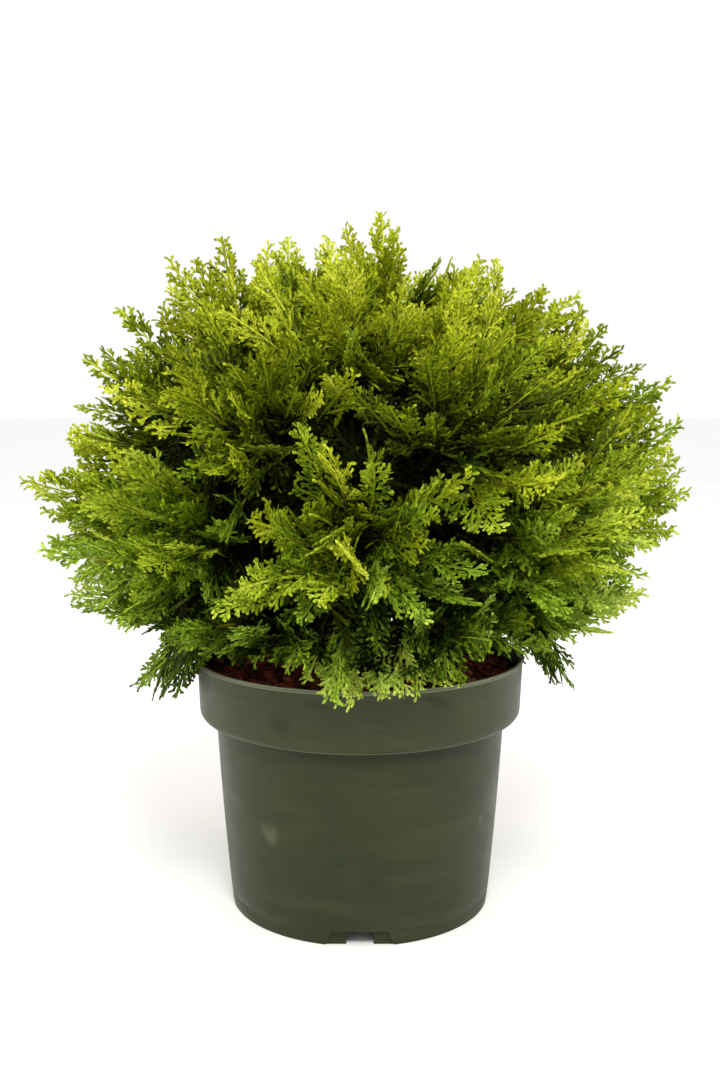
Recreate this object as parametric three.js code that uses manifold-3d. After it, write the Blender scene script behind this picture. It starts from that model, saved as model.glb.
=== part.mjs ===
import * as THREE from "three";
import { mergeVertices } from "three/addons/utils/BufferGeometryUtils.js";
import Module from "manifold-3d";

// A dwarf hinoki cypress, a low dense globe of flat fan sprays, in its nursery container.
// Millimetres, +Z up. The origin is on the ground at the container's axis, and -Y is the
// side that the front drain notch faces.

const wasm = await Module();
wasm.setup();

// Container: a drafted body, a wider band round the rim and a floor raised on a foot ring
const POT_HEIGHT = 177.6;
const POT_WALL = 2;
const POT_SEGMENTS = 40;
const FOOT_RADIUS = 91.9;
const BODY_TOP_RADIUS = 102.2;
const BODY_BULGE = 0.7;
const BODY_STEPS = 4;
const BAND_BOTTOM = 134.7;
const BAND_LOW_RADIUS = 113.6;
const BAND_CORNER = 6.8;
const CORNER_STEPS_OUTSIDE = 3;
const CORNER_STEPS_INSIDE = 2;
const RIM_RADIUS = 115.5;
const RIM_BEAD = 1.1;
const FLOOR_UNDERSIDE = 10.5;
const FLOOR_TOP = FLOOR_UNDERSIDE + POT_WALL;

// Drain notches: a shallow recess in the foot ring, narrower at its top by RECESS_DRAFT on
// each side, with a slot through its middle
const NOTCH_COUNT = 4;
const NOTCH_FIRST_AZIMUTH = -90;
const RECESS_WIDTH = 46;
const RECESS_DRAFT = 3.7;
const RECESS_ROUNDING = 3;
const RECESS_FLOOR_RADIUS = 87.5;
const SLOT_WIDTH = 18;
const SLOT_ROUNDING = 0.5;
const SLOT_INNER_RADIUS = 81.5;
const NOTCH_OUTSIDE_RADIUS = 97;
const NOTCH_OVERLAP = 0.5;

// Bark mulch that fills the container to just under its rim
const SOIL_LEVEL = 166;
const SOIL_FLAT_RADIUS = 26;
const SOIL_ROUGHNESS = 2.4;
const SOIL_SEGMENTS = 20;
const SOIL_SHOULDER = 16;
const FIT_GAP = 0.3;

// Trunk: short and stout, leaning slightly, flared where it meets the mulch
const TRUNK_TIP = new THREE.Vector3(5, 3, 334);
const TRUNK_BEND = new THREE.Vector3(5, 3, 245);
const TRUNK_FOOT_RADIUS = 10.5;
const TRUNK_TIP_RADIUS = 3.4;
const ROOT_FLARE = 6.5;
const ROOT_FLARE_HEIGHT = 9;
const TRUNK_TRIM = 3;
const TRUNK_SIDES = 10;
const TRUNK_STEPS = 10;
const SLEEVE_ALLOWANCE = 0.05;

// The plant's crown is a flattened globe round CROWN_HUB, and every mass of foliage fills one
// cell of it. Each row of CROWN_REACHES is an elevation in degrees and the distances from the
// hub to the furthest tips there, towards -X and towards +X: a wide middle, a lower top, and a
// foot drawn in to the container.
const CROWN_HUB = new THREE.Vector3(-2, 0, 262);
const CROWN_REACHES = [
  [-90, 178, 178],
  [-42, 184, 178],
  [-24, 190, 186],
  [-14, 218, 206],
  [9, 237, 237],
  [27, 216, 242],
  [36, 226, 233],
  [60, 228, 220],
  [90, 222, 222],
];
const CROWN_DEPTH = 0.975;
const REACH_TOLERANCE = 1.02;
const CELL_MARGIN = 0.8;
const POT_CLEARANCE = 3;

// Lowest foliage round the container: lowest at its sides, HANG_IN_FRONT higher in front and
// behind, and higher again between these four places, which lie HANG_TURN degrees on
const HANG_AT_SIDES = 143;
const HANG_IN_FRONT = 29;
const HANG_BETWEEN = 44;
const HANG_TURN = 8;
const HANG_MARGIN = 6;

// Rings of masses from the ground up. fork is the height at which a ring's boughs leave the
// trunk, and every second bough of a ring leaves stagger higher.
const RINGS = [
  { name: "low", count: 8, elevation: -24, azimuth: -67.5, fork: 184, stagger: 13 },
  { name: "middle", count: 8, elevation: 7, azimuth: -90, fork: 212, stagger: 14 },
  { name: "upper", count: 6, elevation: 35, azimuth: -60, fork: 245, stagger: 13 },
  { name: "high", count: 4, elevation: 60, azimuth: -90, fork: 284, stagger: 12 },
];
const TOP_MASS = { name: "crown_top", elevation: 84.3, azimuth: 0 };

// Boughs: one tapering limb from the trunk to each mass
const BOUGH_REACH = 78;
const BOUGH_STRAIGHT = 26;
const BOUGH_ROOT_RADIUS = 4.4;
const BOUGH_TIP_RADIUS = 2.5;
const BOUGH_SIDES = 5;
const BOUGH_STEPS = 3;
const LIMB_SPACE = 82;

// Foliage of one mass: a stem, a small core, shoots that leave the stem, and fans on shoots
const STEM_LENGTH = 70;
const STEM_RADIUS = 2.4;
const CORE_DISTANCE = 124;
const CORE_INNER = 84;
const CORE_OUTER = 172;
const CORE_FILL = 0.94;
const WHORLS = [
  { count: 1, lean: 0, phase: 0, shortest: 1 },
  { count: 2, lean: 8.5, phase: 0, shortest: 0.92 },
  { count: 6, lean: 17, phase: 0.5, shortest: 0.9 },
];
const LEAN_LEAST = 0.88;
const LEAN_MOST = 1.12;
const SHOOT_ROOT_NEAREST = 110;
const SHOOT_ROOT_FURTHEST = 134;
const SHOOT_RADIUS = 1.9;
const SHOOT_TIP_RADIUS = 1.2;
const FAN_LENGTH = 72;
const FAN_HALF_WIDTH = 28;
const FAN_THICKNESS = 2.6;
const FAN_TEETH = 2;
const TOOTH_START = 0.28;
const TOOTH_RUN = 0.7;
const TOOTH_SWELL = 0.5;
const NOTCH_START = 0.3;
const NOTCH_RUN = 0.68;
const NOTCH_REACH = 0.32;
const FAN_ROOT_SUNK = 8;
const FAN_ROLL = 50;
const FAN_TRIES = 8;
const TRY_SHRINK = 0.05;
const TRY_DRAWN_BACK = 1.5;
const STEEP = 0.9;
const SEED = 20;

const GROUND_WIDTH = 400;
const GROUND_DEPTH = 40;
const MERGE_DISTANCE = 1e-3;
const degrees = THREE.MathUtils.degToRad;
const lerp = THREE.MathUtils.lerp;

const MATERIALS = {
  pot: new THREE.MeshStandardMaterial({ color: 0x4a4f38, roughness: 0.42, metalness: 0 }),
  soil: new THREE.MeshStandardMaterial({ color: 0x6b3a25, roughness: 0.95, metalness: 0 }),
  bark: new THREE.MeshStandardMaterial({ color: 0x6e4a35, roughness: 0.85, metalness: 0 }),
  foliage: new THREE.MeshStandardMaterial({ color: 0x6f8a26, roughness: 0.6, metalness: 0 }),
};

// A repeatable stream of numbers from 0 to 1
function seededRandom(seed) {
  let state = seed >>> 0;
  return () => {
    state = (state + 0x6d2b79f5) >>> 0;
    let mixed = Math.imul(state ^ (state >>> 15), state | 1);
    mixed ^= mixed + Math.imul(mixed ^ (mixed >>> 7), mixed | 61);
    return ((mixed ^ (mixed >>> 14)) >>> 0) / 4294967296;
  };
}

// ---- Solids ----

function toSolid(geometry) {
  const bare = geometry.clone();
  for (const name of Object.keys(bare.attributes)) {
    if (name !== "position") bare.deleteAttribute(name);
  }
  const merged = mergeVertices(bare, MERGE_DISTANCE);
  const index = Array.from(merged.index.array);
  const triangles = [];
  for (let i = 0; i < index.length; i += 3) {
    const [a, b, c] = index.slice(i, i + 3);
    if (a !== b && b !== c && c !== a) triangles.push(a, b, c);
  }
  const mesh = new wasm.Mesh({
    numProp: 3,
    vertProperties: new Float32Array(merged.attributes.position.array),
    triVerts: new Uint32Array(triangles),
  });
  return new wasm.Manifold(mesh);
}

// The largest closed body of a solid, so that loose scraps and sealed hollows go. Corners
// nearer than MERGE_DISTANCE become one first, because that can seal a hollow too.
function mainBody(solid) {
  const settled = toSolid(toGeometry(solid));
  const bodies = settled.decompose();
  return bodies.reduce((best, body) => (body.volume() > best.volume() ? body : best));
}

function toGeometry(solid) {
  const mesh = solid.getMesh();
  const geometry = new THREE.BufferGeometry();
  geometry.setAttribute("position", new THREE.BufferAttribute(mesh.vertProperties, 3));
  geometry.setIndex(new THREE.BufferAttribute(mesh.triVerts, 1));
  geometry.computeVertexNormals();
  return geometry;
}

function namedMesh(name, solid, material) {
  const mesh = new THREE.Mesh(toGeometry(solid), material);
  mesh.name = name;
  return mesh;
}

// A solid of revolution about Z from [radius, height] pairs that start and end on the axis
function turned(profile, segments) {
  const points = profile.map(([radius, height]) => new THREE.Vector2(radius, height));
  return new THREE.LatheGeometry(points, segments).rotateX(Math.PI / 2);
}

// A limb with round section along a curve. radiusAt gives its radius from 0, root, to 1, tip.
function limb(curve, radiusAt, sides, steps) {
  const geometry = new THREE.CylinderGeometry(1, 1, 1, sides, steps);
  const frames = curve.computeFrenetFrames(steps, false);
  const position = geometry.attributes.position;
  const point = new THREE.Vector3();
  for (let i = 0; i < position.count; i++) {
    const ring = Math.round((position.getY(i) + 0.5) * steps);
    const radius = radiusAt(ring / steps);
    curve.getPointAt(ring / steps, point);
    point.addScaledVector(frames.normals[ring], radius * position.getZ(i));
    point.addScaledVector(frames.binormals[ring], radius * position.getX(i));
    position.setXYZ(i, point.x, point.y, point.z);
  }
  return geometry;
}

// A straight three-sided twig
function twig(root, tip, rootRadius, tipRadius) {
  const line = new THREE.LineCurve3(root, tip);
  return limb(line, (t) => lerp(rootRadius, tipRadius, t), 3, 1);
}

// ---- Container and mulch ----

function bodyRadius(height) {
  const t = height / BAND_BOTTOM;
  return lerp(FOOT_RADIUS, BODY_TOP_RADIUS, t) + BODY_BULGE * Math.sin(Math.PI * t);
}

// Points of the band's rounded lower corner, drawn inset from the outer face
function bandCorner(inset, steps) {
  const points = [];
  for (let i = 0; i <= steps; i++) {
    const angle = (i / steps) * (Math.PI / 2);
    const reach = BAND_CORNER - inset;
    points.push([
      BAND_LOW_RADIUS - BAND_CORNER + reach * Math.sin(angle),
      BAND_BOTTOM + BAND_CORNER - reach * Math.cos(angle),
    ]);
  }
  return points;
}

function potProfile() {
  const outside = [];
  for (let i = 0; i <= BODY_STEPS; i++) {
    const height = (i / BODY_STEPS) * BAND_BOTTOM;
    outside.push([bodyRadius(height), height]);
  }
  outside.push(...bandCorner(0, CORNER_STEPS_OUTSIDE));
  outside.push([RIM_RADIUS, POT_HEIGHT - RIM_BEAD], [RIM_RADIUS - RIM_BEAD / 2, POT_HEIGHT]);
  const insideCorner = bandCorner(POT_WALL, CORNER_STEPS_INSIDE).reverse();
  const inside = [[RIM_RADIUS - POT_WALL, POT_HEIGHT], ...insideCorner];
  for (const height of [BAND_BOTTOM + POT_WALL, BAND_BOTTOM / 2, FLOOR_TOP]) {
    inside.push([bodyRadius(height) - POT_WALL, height]);
  }
  const underside = [
    [0, FLOOR_UNDERSIDE],
    [bodyRadius(FLOOR_UNDERSIDE) - POT_WALL, FLOOR_UNDERSIDE],
    [FOOT_RADIUS - POT_WALL, 0],
  ];
  return [...underside, ...outside, ...inside, [0, FLOOR_TOP]];
}

// An upright outline of the given width at the ground, height and draft of its sides, rounded
// at its top corners, that runs radially between two distances from the axis at an azimuth
function radialBlock(width, height, draft, rounding, innerRadius, outerRadius, azimuth) {
  const half = width / 2;
  const narrow = half - draft;
  const corner = rounding * (1 - Math.SQRT1_2);
  const shape = new THREE.Shape();
  shape.moveTo(-half, -FIT_GAP);
  shape.lineTo(half, -FIT_GAP);
  shape.lineTo(narrow, height - rounding);
  shape.lineTo(narrow - corner, height - corner);
  shape.lineTo(narrow - rounding, height);
  shape.lineTo(rounding - narrow, height);
  shape.lineTo(corner - narrow, height - corner);
  shape.lineTo(-narrow, height - rounding);
  const depth = outerRadius - innerRadius;
  const geometry = new THREE.ExtrudeGeometry(shape, { depth, bevelEnabled: false });
  const outward = new THREE.Vector3(Math.cos(azimuth), Math.sin(azimuth), 0);
  const up = new THREE.Vector3(0, 0, 1);
  const across = new THREE.Vector3().crossVectors(up, outward);
  const placed = new THREE.Matrix4().makeBasis(across, up, outward);
  placed.setPosition(outward.clone().multiplyScalar(innerRadius));
  return geometry.applyMatrix4(placed);
}

// A block that takes away everything below a level
function blockBelow(level) {
  const block = new THREE.BoxGeometry(GROUND_WIDTH, GROUND_WIDTH, GROUND_DEPTH);
  return toSolid(block.translate(0, 0, level - GROUND_DEPTH / 2));
}

function makePot() {
  let pot = toSolid(turned(potProfile(), POT_SEGMENTS));
  for (let i = 0; i < NOTCH_COUNT; i++) {
    const azimuth = degrees(NOTCH_FIRST_AZIMUTH + (i * 360) / NOTCH_COUNT);
    const backing = radialBlock(RECESS_WIDTH + 2 * POT_WALL, FLOOR_TOP - NOTCH_OVERLAP,
      RECESS_DRAFT, RECESS_ROUNDING, RECESS_FLOOR_RADIUS - POT_WALL,
      RECESS_FLOOR_RADIUS + NOTCH_OVERLAP, azimuth);
    const recess = radialBlock(RECESS_WIDTH, FLOOR_UNDERSIDE, RECESS_DRAFT, RECESS_ROUNDING,
      RECESS_FLOOR_RADIUS, NOTCH_OUTSIDE_RADIUS, azimuth);
    const slot = radialBlock(SLOT_WIDTH, FLOOR_UNDERSIDE, 0, SLOT_ROUNDING, SLOT_INNER_RADIUS,
      NOTCH_OUTSIDE_RADIUS, azimuth);
    pot = pot.add(toSolid(backing)).subtract(toSolid(recess)).subtract(toSolid(slot));
  }
  return mainBody(pot.subtract(blockBelow(0)));
}

function makeSoil() {
  const bottom = FLOOR_TOP + FIT_GAP;
  const shelf = BAND_BOTTOM + POT_WALL + FIT_GAP;
  const bandSlope = (RIM_RADIUS - BAND_LOW_RADIUS) / (POT_HEIGHT - BAND_BOTTOM - BAND_CORNER);
  const edge = BAND_LOW_RADIUS + bandSlope * (SOIL_LEVEL - shelf) - POT_WALL - 2 * FIT_GAP;
  const inner = (height) => bodyRadius(height) - POT_WALL - 2 * FIT_GAP;
  const profile = [
    [0, bottom],
    [inner(bottom), bottom],
    [inner(BAND_BOTTOM / 2), BAND_BOTTOM / 2],
    [inner(shelf), shelf],
    [BAND_LOW_RADIUS - BAND_CORNER, shelf],
    [BAND_LOW_RADIUS - POT_WALL - 2 * FIT_GAP, BAND_BOTTOM + BAND_CORNER],
    [edge, SOIL_LEVEL - SOIL_ROUGHNESS],
    [edge - SOIL_SHOULDER, SOIL_LEVEL],
    [(edge + SOIL_FLAT_RADIUS) / 2, SOIL_LEVEL],
    [SOIL_FLAT_RADIUS, SOIL_LEVEL],
    [0, SOIL_LEVEL],
  ];
  const geometry = mergeVertices(turned(profile, SOIL_SEGMENTS).deleteAttribute("normal")
    .deleteAttribute("uv"), MERGE_DISTANCE);
  const random = seededRandom(SEED);
  const position = geometry.attributes.position;
  for (let i = 0; i < position.count; i++) {
    const radius = Math.hypot(position.getX(i), position.getY(i));
    const onTop = Math.abs(position.getZ(i) - SOIL_LEVEL) < MERGE_DISTANCE;
    if (onTop && radius > SOIL_FLAT_RADIUS + FIT_GAP) {
      position.setZ(i, SOIL_LEVEL + SOIL_ROUGHNESS * (2 * random() - 1));
    }
  }
  return toSolid(geometry);
}

// ---- Trunk and boughs ----

function makeTrunk(extraRadius) {
  const ground = SOIL_LEVEL + FIT_GAP;
  const foot = new THREE.Vector3(0, 0, ground - TRUNK_TRIM);
  const curve = new THREE.QuadraticBezierCurve3(foot, TRUNK_BEND, TRUNK_TIP);
  const length = curve.getLength();
  const radiusAt = (t) => {
    const flare = ROOT_FLARE * Math.exp((-t * length) / ROOT_FLARE_HEIGHT);
    return lerp(TRUNK_FOOT_RADIUS, TRUNK_TIP_RADIUS, t) + flare + extraRadius;
  };
  const whole = toSolid(limb(curve, radiusAt, TRUNK_SIDES, TRUNK_STEPS));
  return { curve, solid: mainBody(whole.subtract(blockBelow(ground))) };
}

// The trunk's centreline at a height, near enough for a bough's root to start inside it
function trunkCentreAt(height, curve) {
  const t = (height - curve.v0.z) / (curve.v2.z - curve.v0.z);
  return curve.getPoint(THREE.MathUtils.clamp(t, 0, 1));
}

function makeBough(cell, trunk, sleeve) {
  const root = trunkCentreAt(cell.fork, trunk.curve);
  const turn = cell.limbTip.clone().addScaledVector(cell.axis, -BOUGH_STRAIGHT);
  const curve = new THREE.QuadraticBezierCurve3(root, turn, cell.limbTip);
  const radiusAt = (t) => lerp(BOUGH_ROOT_RADIUS, BOUGH_TIP_RADIUS, t);
  return mainBody(toSolid(limb(curve, radiusAt, BOUGH_SIDES, BOUGH_STEPS)).subtract(sleeve));
}

// ---- Space of the crown ----

function directionFrom(azimuth, elevation) {
  const a = degrees(azimuth);
  const e = degrees(elevation);
  return new THREE.Vector3(Math.cos(e) * Math.cos(a), Math.cos(e) * Math.sin(a), Math.sin(e));
}

function makeCells() {
  const cells = [];
  for (const ring of RINGS) {
    for (let i = 0; i < ring.count; i++) {
      cells.push({
        name: `${ring.name}_${i + 1}`,
        axis: directionFrom(ring.azimuth + (i * 360) / ring.count, ring.elevation),
        fork: ring.fork + (i % 2) * ring.stagger,
      });
    }
  }
  const topAxis = directionFrom(TOP_MASS.azimuth, TOP_MASS.elevation);
  cells.push({ name: TOP_MASS.name, axis: topAxis, fork: null });
  cells.forEach((cell, i) => {
    const boughTip = CROWN_HUB.clone().addScaledVector(cell.axis, BOUGH_REACH);
    cell.limbTip = cell.fork === null ? TRUNK_TIP : boughTip;
    cell.seed = SEED + 101 * (i + 1);
    cell.walls = cells.filter((other) => other !== cell)
      .map((other) => other.axis.clone().sub(cell.axis).normalize());
  });
  return cells;
}

// Distance from the hub to the crown's outer surface, a little less towards front and back
function crownReach(direction) {
  const elevation = THREE.MathUtils.radToDeg(Math.asin(direction.z));
  const last = CROWN_REACHES.length - 1;
  const upper = CROWN_REACHES.findIndex(([degree], i) => i === last || degree > elevation);
  const side = (1 + direction.x) / 2;
  const [lowDegree, ...lowReaches] = CROWN_REACHES[Math.max(upper - 1, 0)];
  const [highDegree, ...highReaches] = CROWN_REACHES[upper];
  const t = (elevation - lowDegree) / (highDegree - lowDegree);
  const reach = lerp(lerp(...lowReaches, side), lerp(...highReaches, side), t);
  return reach * (1 - (1 - CROWN_DEPTH) * direction.y ** 2);
}

function hangHeight(point) {
  const azimuth = Math.atan2(point.y, point.x) - degrees(HANG_TURN);
  const between = HANG_BETWEEN * Math.sin(2 * azimuth) ** 2;
  return HANG_AT_SIDES + HANG_IN_FRONT * Math.sin(azimuth) ** 2 + between;
}

function overPot(point) {
  const beyondRim = Math.hypot(point.x, point.y) > RIM_RADIUS + POT_CLEARANCE;
  return beyondRim || point.z > POT_HEIGHT + POT_CLEARANCE;
}

// Whether a point of foliage is in its own cell, in the crown, clear of limbs and pot, and
// not too low
function isFree(point, cell) {
  const offset = point.clone().sub(CROWN_HUB);
  const distance = offset.length();
  const inCell = cell.walls.every((wall) => offset.dot(wall) < -CELL_MARGIN);
  const inCrown = distance < REACH_TOLERANCE * crownReach(offset.divideScalar(distance));
  const allowed = overPot(point) && point.z > hangHeight(point);
  return inCell && distance > LIMB_SPACE && inCrown && allowed;
}

// ---- Foliage ----

// Outline of a fan spray from its root at 0,0 along +Y: the teeth are the ends of its side
// branches, and the notches between them reach in towards its axis
function fanOutline(length, halfWidth) {
  const side = [];
  for (let k = 0; k < FAN_TEETH; k++) {
    const t = (k + 1) / (FAN_TEETH + 1);
    const reach = halfWidth * Math.sin(Math.PI * (TOOTH_START + TOOTH_SWELL * t));
    side.push([reach, length * (TOOTH_START + TOOTH_RUN * t)]);
    side.push([reach * NOTCH_REACH, length * (NOTCH_START + NOTCH_RUN * t)]);
  }
  const mirrored = side.map(([x, y]) => [-x, y]).reverse();
  return [[0, 0], ...side, [0, length], ...mirrored];
}

// The corners of a fan: its outline, then the middle of its two faces
function fanCorners(fan) {
  const across = new THREE.Vector3().crossVectors(fan.axis, fan.normal);
  const place = (x, y, z) => fan.root.clone().addScaledVector(across, x)
    .addScaledVector(fan.axis, y).addScaledVector(fan.normal, z);
  const outline = fanOutline(fan.length, fan.halfWidth).map(([x, y]) => place(x, y, 0));
  const middle = fan.length / 2;
  const half = FAN_THICKNESS / 2;
  return [...outline, place(0, middle, half), place(0, middle, -half)];
}

function fanGeometry(fan) {
  const corners = fanCorners(fan);
  const rim = corners.length - 2;
  const index = [];
  for (let i = 0; i < rim; i++) {
    const next = (i + 1) % rim;
    index.push(rim, i, next, rim + 1, next, i);
  }
  const geometry = new THREE.BufferGeometry();
  const places = corners.flatMap((corner) => corner.toArray());
  geometry.setAttribute("position", new THREE.Float32BufferAttribute(places, 3));
  geometry.setIndex(index);
  return geometry;
}

// A unit vector square to the axis, turned about it
function squareTo(axis, turn) {
  const steep = Math.abs(axis.z) > STEEP;
  const helper = steep ? new THREE.Vector3(1, 0, 0) : new THREE.Vector3(0, 0, 1);
  const first = new THREE.Vector3().crossVectors(helper, axis).normalize();
  return first.applyAxisAngle(axis, turn);
}

// A fan at the end of a shoot that fits its cell, from seeded tries at its roll about the
// shoot, its size and its tip's distance. No fan comes back where none fits.
function fitFan(cell, random, shoot) {
  const facing = new THREE.Vector3().crossVectors(shoot.outward, shoot.axis).normalize();
  for (let attempt = 0; attempt < FAN_TRIES; attempt++) {
    const size = 1 - TRY_SHRINK * attempt;
    const roll = degrees(FAN_ROLL * (2 * random() - 1));
    const length = FAN_LENGTH * size;
    const tip = shoot.tip.clone().addScaledVector(shoot.axis, -TRY_DRAWN_BACK * attempt);
    const fan = {
      root: tip.addScaledVector(shoot.axis, -length),
      axis: shoot.axis,
      normal: facing.clone().applyAxisAngle(shoot.axis, roll),
      length,
      halfWidth: FAN_HALF_WIDTH * size,
    };
    if (fanCorners(fan).slice(1).every((corner) => isFree(corner, cell))) return fan;
  }
  return null;
}

// The shoots of a mass: from places on its stem to tips near the crown's surface, one along
// the cell's axis and the rest round it in whorls that lean further out. Tips that would hang
// too low are lifted.
function growShoots(cell, random) {
  const shoots = [];
  const firstTurn = 2 * Math.PI * random();
  for (const whorl of WHORLS) {
    for (let k = 0; k < whorl.count; k++) {
      const lean = degrees(whorl.lean * lerp(LEAN_LEAST, LEAN_MOST, random()));
      const turn = firstTurn + (2 * Math.PI * (k + whorl.phase)) / whorl.count;
      const outward = squareTo(cell.axis, turn);
      const direction = cell.axis.clone().applyAxisAngle(outward, lean);
      const reach = crownReach(direction) * lerp(whorl.shortest, 1, random());
      const tip = CROWN_HUB.clone().addScaledVector(direction, reach);
      tip.z = Math.max(tip.z, hangHeight(tip) + HANG_MARGIN);
      const rootDistance = lerp(SHOOT_ROOT_NEAREST, SHOOT_ROOT_FURTHEST, random());
      const root = CROWN_HUB.clone().addScaledVector(cell.axis, rootDistance);
      const axis = tip.clone().sub(root).normalize();
      shoots.push({ root, tip, axis, outward });
    }
  }
  return shoots;
}

// A small core that keeps inside the cell, pulled in from the first place that isn't free
function coreGeometry(cell) {
  const middle = CROWN_HUB.clone().addScaledVector(cell.axis, CORE_DISTANCE);
  const geometry = new THREE.IcosahedronGeometry(1, 0).deleteAttribute("normal")
    .deleteAttribute("uv");
  const position = geometry.attributes.position;
  const direction = new THREE.Vector3();
  for (let i = 0; i < position.count; i++) {
    direction.fromBufferAttribute(position, i).normalize();
    let reach = 0;
    let point = middle.clone();
    while (reach < CORE_OUTER - CORE_INNER) {
      point = middle.clone().addScaledVector(direction, reach + 1);
      const distance = point.distanceTo(CROWN_HUB);
      const inShell = distance > CORE_INNER && distance < CORE_OUTER;
      if (!isFree(point, cell) || !inShell || point.z < POT_HEIGHT + POT_CLEARANCE) break;
      reach += 1;
    }
    const place = middle.clone().addScaledVector(direction, reach * CORE_FILL);
    position.setXYZ(i, place.x, place.y, place.z);
  }
  return geometry;
}

function makeMass(cell) {
  const random = seededRandom(cell.seed);
  const stemStart = cell.limbTip.clone().addScaledVector(cell.axis, FIT_GAP);
  const stemEnd = stemStart.clone().addScaledVector(cell.axis, STEM_LENGTH);
  const pieces = [coreGeometry(cell), twig(stemStart, stemEnd, STEM_RADIUS, SHOOT_RADIUS)];
  for (const shoot of growShoots(cell, random)) {
    const fan = fitFan(cell, random, shoot);
    if (fan === null) continue;
    const twigTip = fan.root.clone().addScaledVector(shoot.axis, FAN_ROOT_SUNK);
    pieces.push(twig(shoot.root, twigTip, SHOOT_RADIUS, SHOOT_TIP_RADIUS), fanGeometry(fan));
  }
  return mainBody(wasm.Manifold.union(pieces.map(toSolid)));
}

// ---- Assembly ----

const plant = new THREE.Group();
const cells = makeCells();
const trunk = makeTrunk(0);
const trunkSleeve = makeTrunk(FIT_GAP + SLEEVE_ALLOWANCE).solid;

plant.add(namedMesh("pot", makePot(), MATERIALS.pot));
plant.add(namedMesh("soil", makeSoil(), MATERIALS.soil));
plant.add(namedMesh("trunk", trunk.solid, MATERIALS.bark));
for (const cell of cells) {
  if (cell.fork !== null) {
    const bough = makeBough(cell, trunk, trunkSleeve);
    plant.add(namedMesh(`bough_${cell.name}`, bough, MATERIALS.bark));
  }
  plant.add(namedMesh(`foliage_${cell.name}`, makeMass(cell), MATERIALS.foliage));
}

export default plant;
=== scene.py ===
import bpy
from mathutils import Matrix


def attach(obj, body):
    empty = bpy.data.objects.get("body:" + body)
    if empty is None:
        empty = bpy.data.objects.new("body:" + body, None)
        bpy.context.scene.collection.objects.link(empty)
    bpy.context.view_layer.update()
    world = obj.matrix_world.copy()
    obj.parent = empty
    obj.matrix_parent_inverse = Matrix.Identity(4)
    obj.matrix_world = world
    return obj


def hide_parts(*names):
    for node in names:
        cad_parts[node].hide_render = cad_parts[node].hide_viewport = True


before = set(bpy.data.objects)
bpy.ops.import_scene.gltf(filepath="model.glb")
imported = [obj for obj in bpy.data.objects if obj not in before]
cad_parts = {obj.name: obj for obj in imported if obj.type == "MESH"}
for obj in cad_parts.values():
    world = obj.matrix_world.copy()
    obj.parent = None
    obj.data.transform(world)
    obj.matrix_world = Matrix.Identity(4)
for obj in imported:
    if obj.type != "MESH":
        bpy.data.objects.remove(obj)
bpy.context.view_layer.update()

import math

import bpy
import numpy as np
from mathutils import Vector

# A dwarf hinoki cypress, a low dense globe of flat fan sprays, in its nursery container.
# Metres, +Z up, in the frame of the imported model. -Y faces the camera.

MM = 0.001
UP = np.array([0.0, 0.0, 1.0])

# Camera: focal length and image size in pixels, place and downward pitch
IMAGE_HEIGHT_PX = 1079
FOCAL_PX = 1250
SENSOR = 36.0
CAMERA_PLACE = (0.0, -0.8738, 0.3686)
CAMERA_PITCH = 7.19

# Container, with the same driving sizes as the CAD
POT_HEIGHT = 177.6 * MM
POT_WALL = 2 * MM
POT_SEGMENTS = 160
FOOT_RADIUS = 91.9 * MM
BODY_TOP_RADIUS = 102.2 * MM
BODY_BULGE = 0.7 * MM
BAND_BOTTOM = 134.7 * MM
BAND_LOW_RADIUS = 113.6 * MM
BAND_CORNER = 6.8 * MM
RIM_RADIUS = 115.5 * MM
FLOOR_UNDERSIDE = 10.5 * MM
FLOOR_TOP = 12.5 * MM
FOOT_LINE = 9 * MM
NOTCH_COUNT = 4
NOTCH_FIRST_AZIMUTH = -90
RECESS_WIDTH = 46 * MM
RECESS_DRAFT = 3.7 * MM
RECESS_ROUNDING = 3 * MM
RECESS_FLOOR_RADIUS = 87.5 * MM
SLOT_WIDTH = 18 * MM
SLOT_ROUNDING = 0.5 * MM
SLOT_START = 4 * MM
BACKING_OVERLAP = 0.5 * MM
NOTCH_OUTSIDE_RADIUS = 97 * MM

# Mulch
SOIL_LEVEL = 166 * MM
SOIL_RADIUS = 111.5 * MM
SOIL_DEPTH = 26 * MM
BED_RINGS = 26
BED_SEGMENTS = 72
BED_UNDER_CHIPS = 1.5 * MM
BED_TAPER = 0.9
UNEVENNESS = 1.6 * MM
CHIP_COUNT = 1500
CHIP_SIZES = ((6, 19), (3, 8), (1.2, 3))
CHIP_JITTER = 0.28
CHIP_TILT = 0.32
CHIP_ROLL = 0.3
CHIP_EDGE = 9 * MM
CHIP_LEVELS = (-0.8, 1.4)
CHIP_SHARES = (0.35, 0.45, 0.2)

# Trunk and boughs
TRUNK_TIP = np.array([5, 3, 334]) * MM
TRUNK_BEND = np.array([5, 3, 245]) * MM
TRUNK_FOOT = np.array([0, 0, 163.3]) * MM
TRUNK_FOOT_RADIUS = 10.5 * MM
TRUNK_TIP_RADIUS = 3.4 * MM
TRUNK_RAISED = 3.2 * MM
TRUNK_SIDES = 28
TRUNK_STEPS = 60
ROOT_FLARE = 6.5 * MM
ROOT_FLARE_HEIGHT = 9 * MM
BOUGH_REACH = 78 * MM
BOUGH_STRAIGHT = 26 * MM
BOUGH_ROOT_RADIUS = 4.4 * MM
BOUGH_TIP_RADIUS = 2.5 * MM
BOUGH_START = 0.04
BOUGH_SIDES = 12
BOUGH_STEPS = 22
# Ridges of the bark: their count round the limb, height, and drift along it
RIDGES = ((5, 1, 0.13), (9, 0.7, -0.21), (14, 0.6, 0.33))
BARK_RELIEF = 0.1

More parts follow.
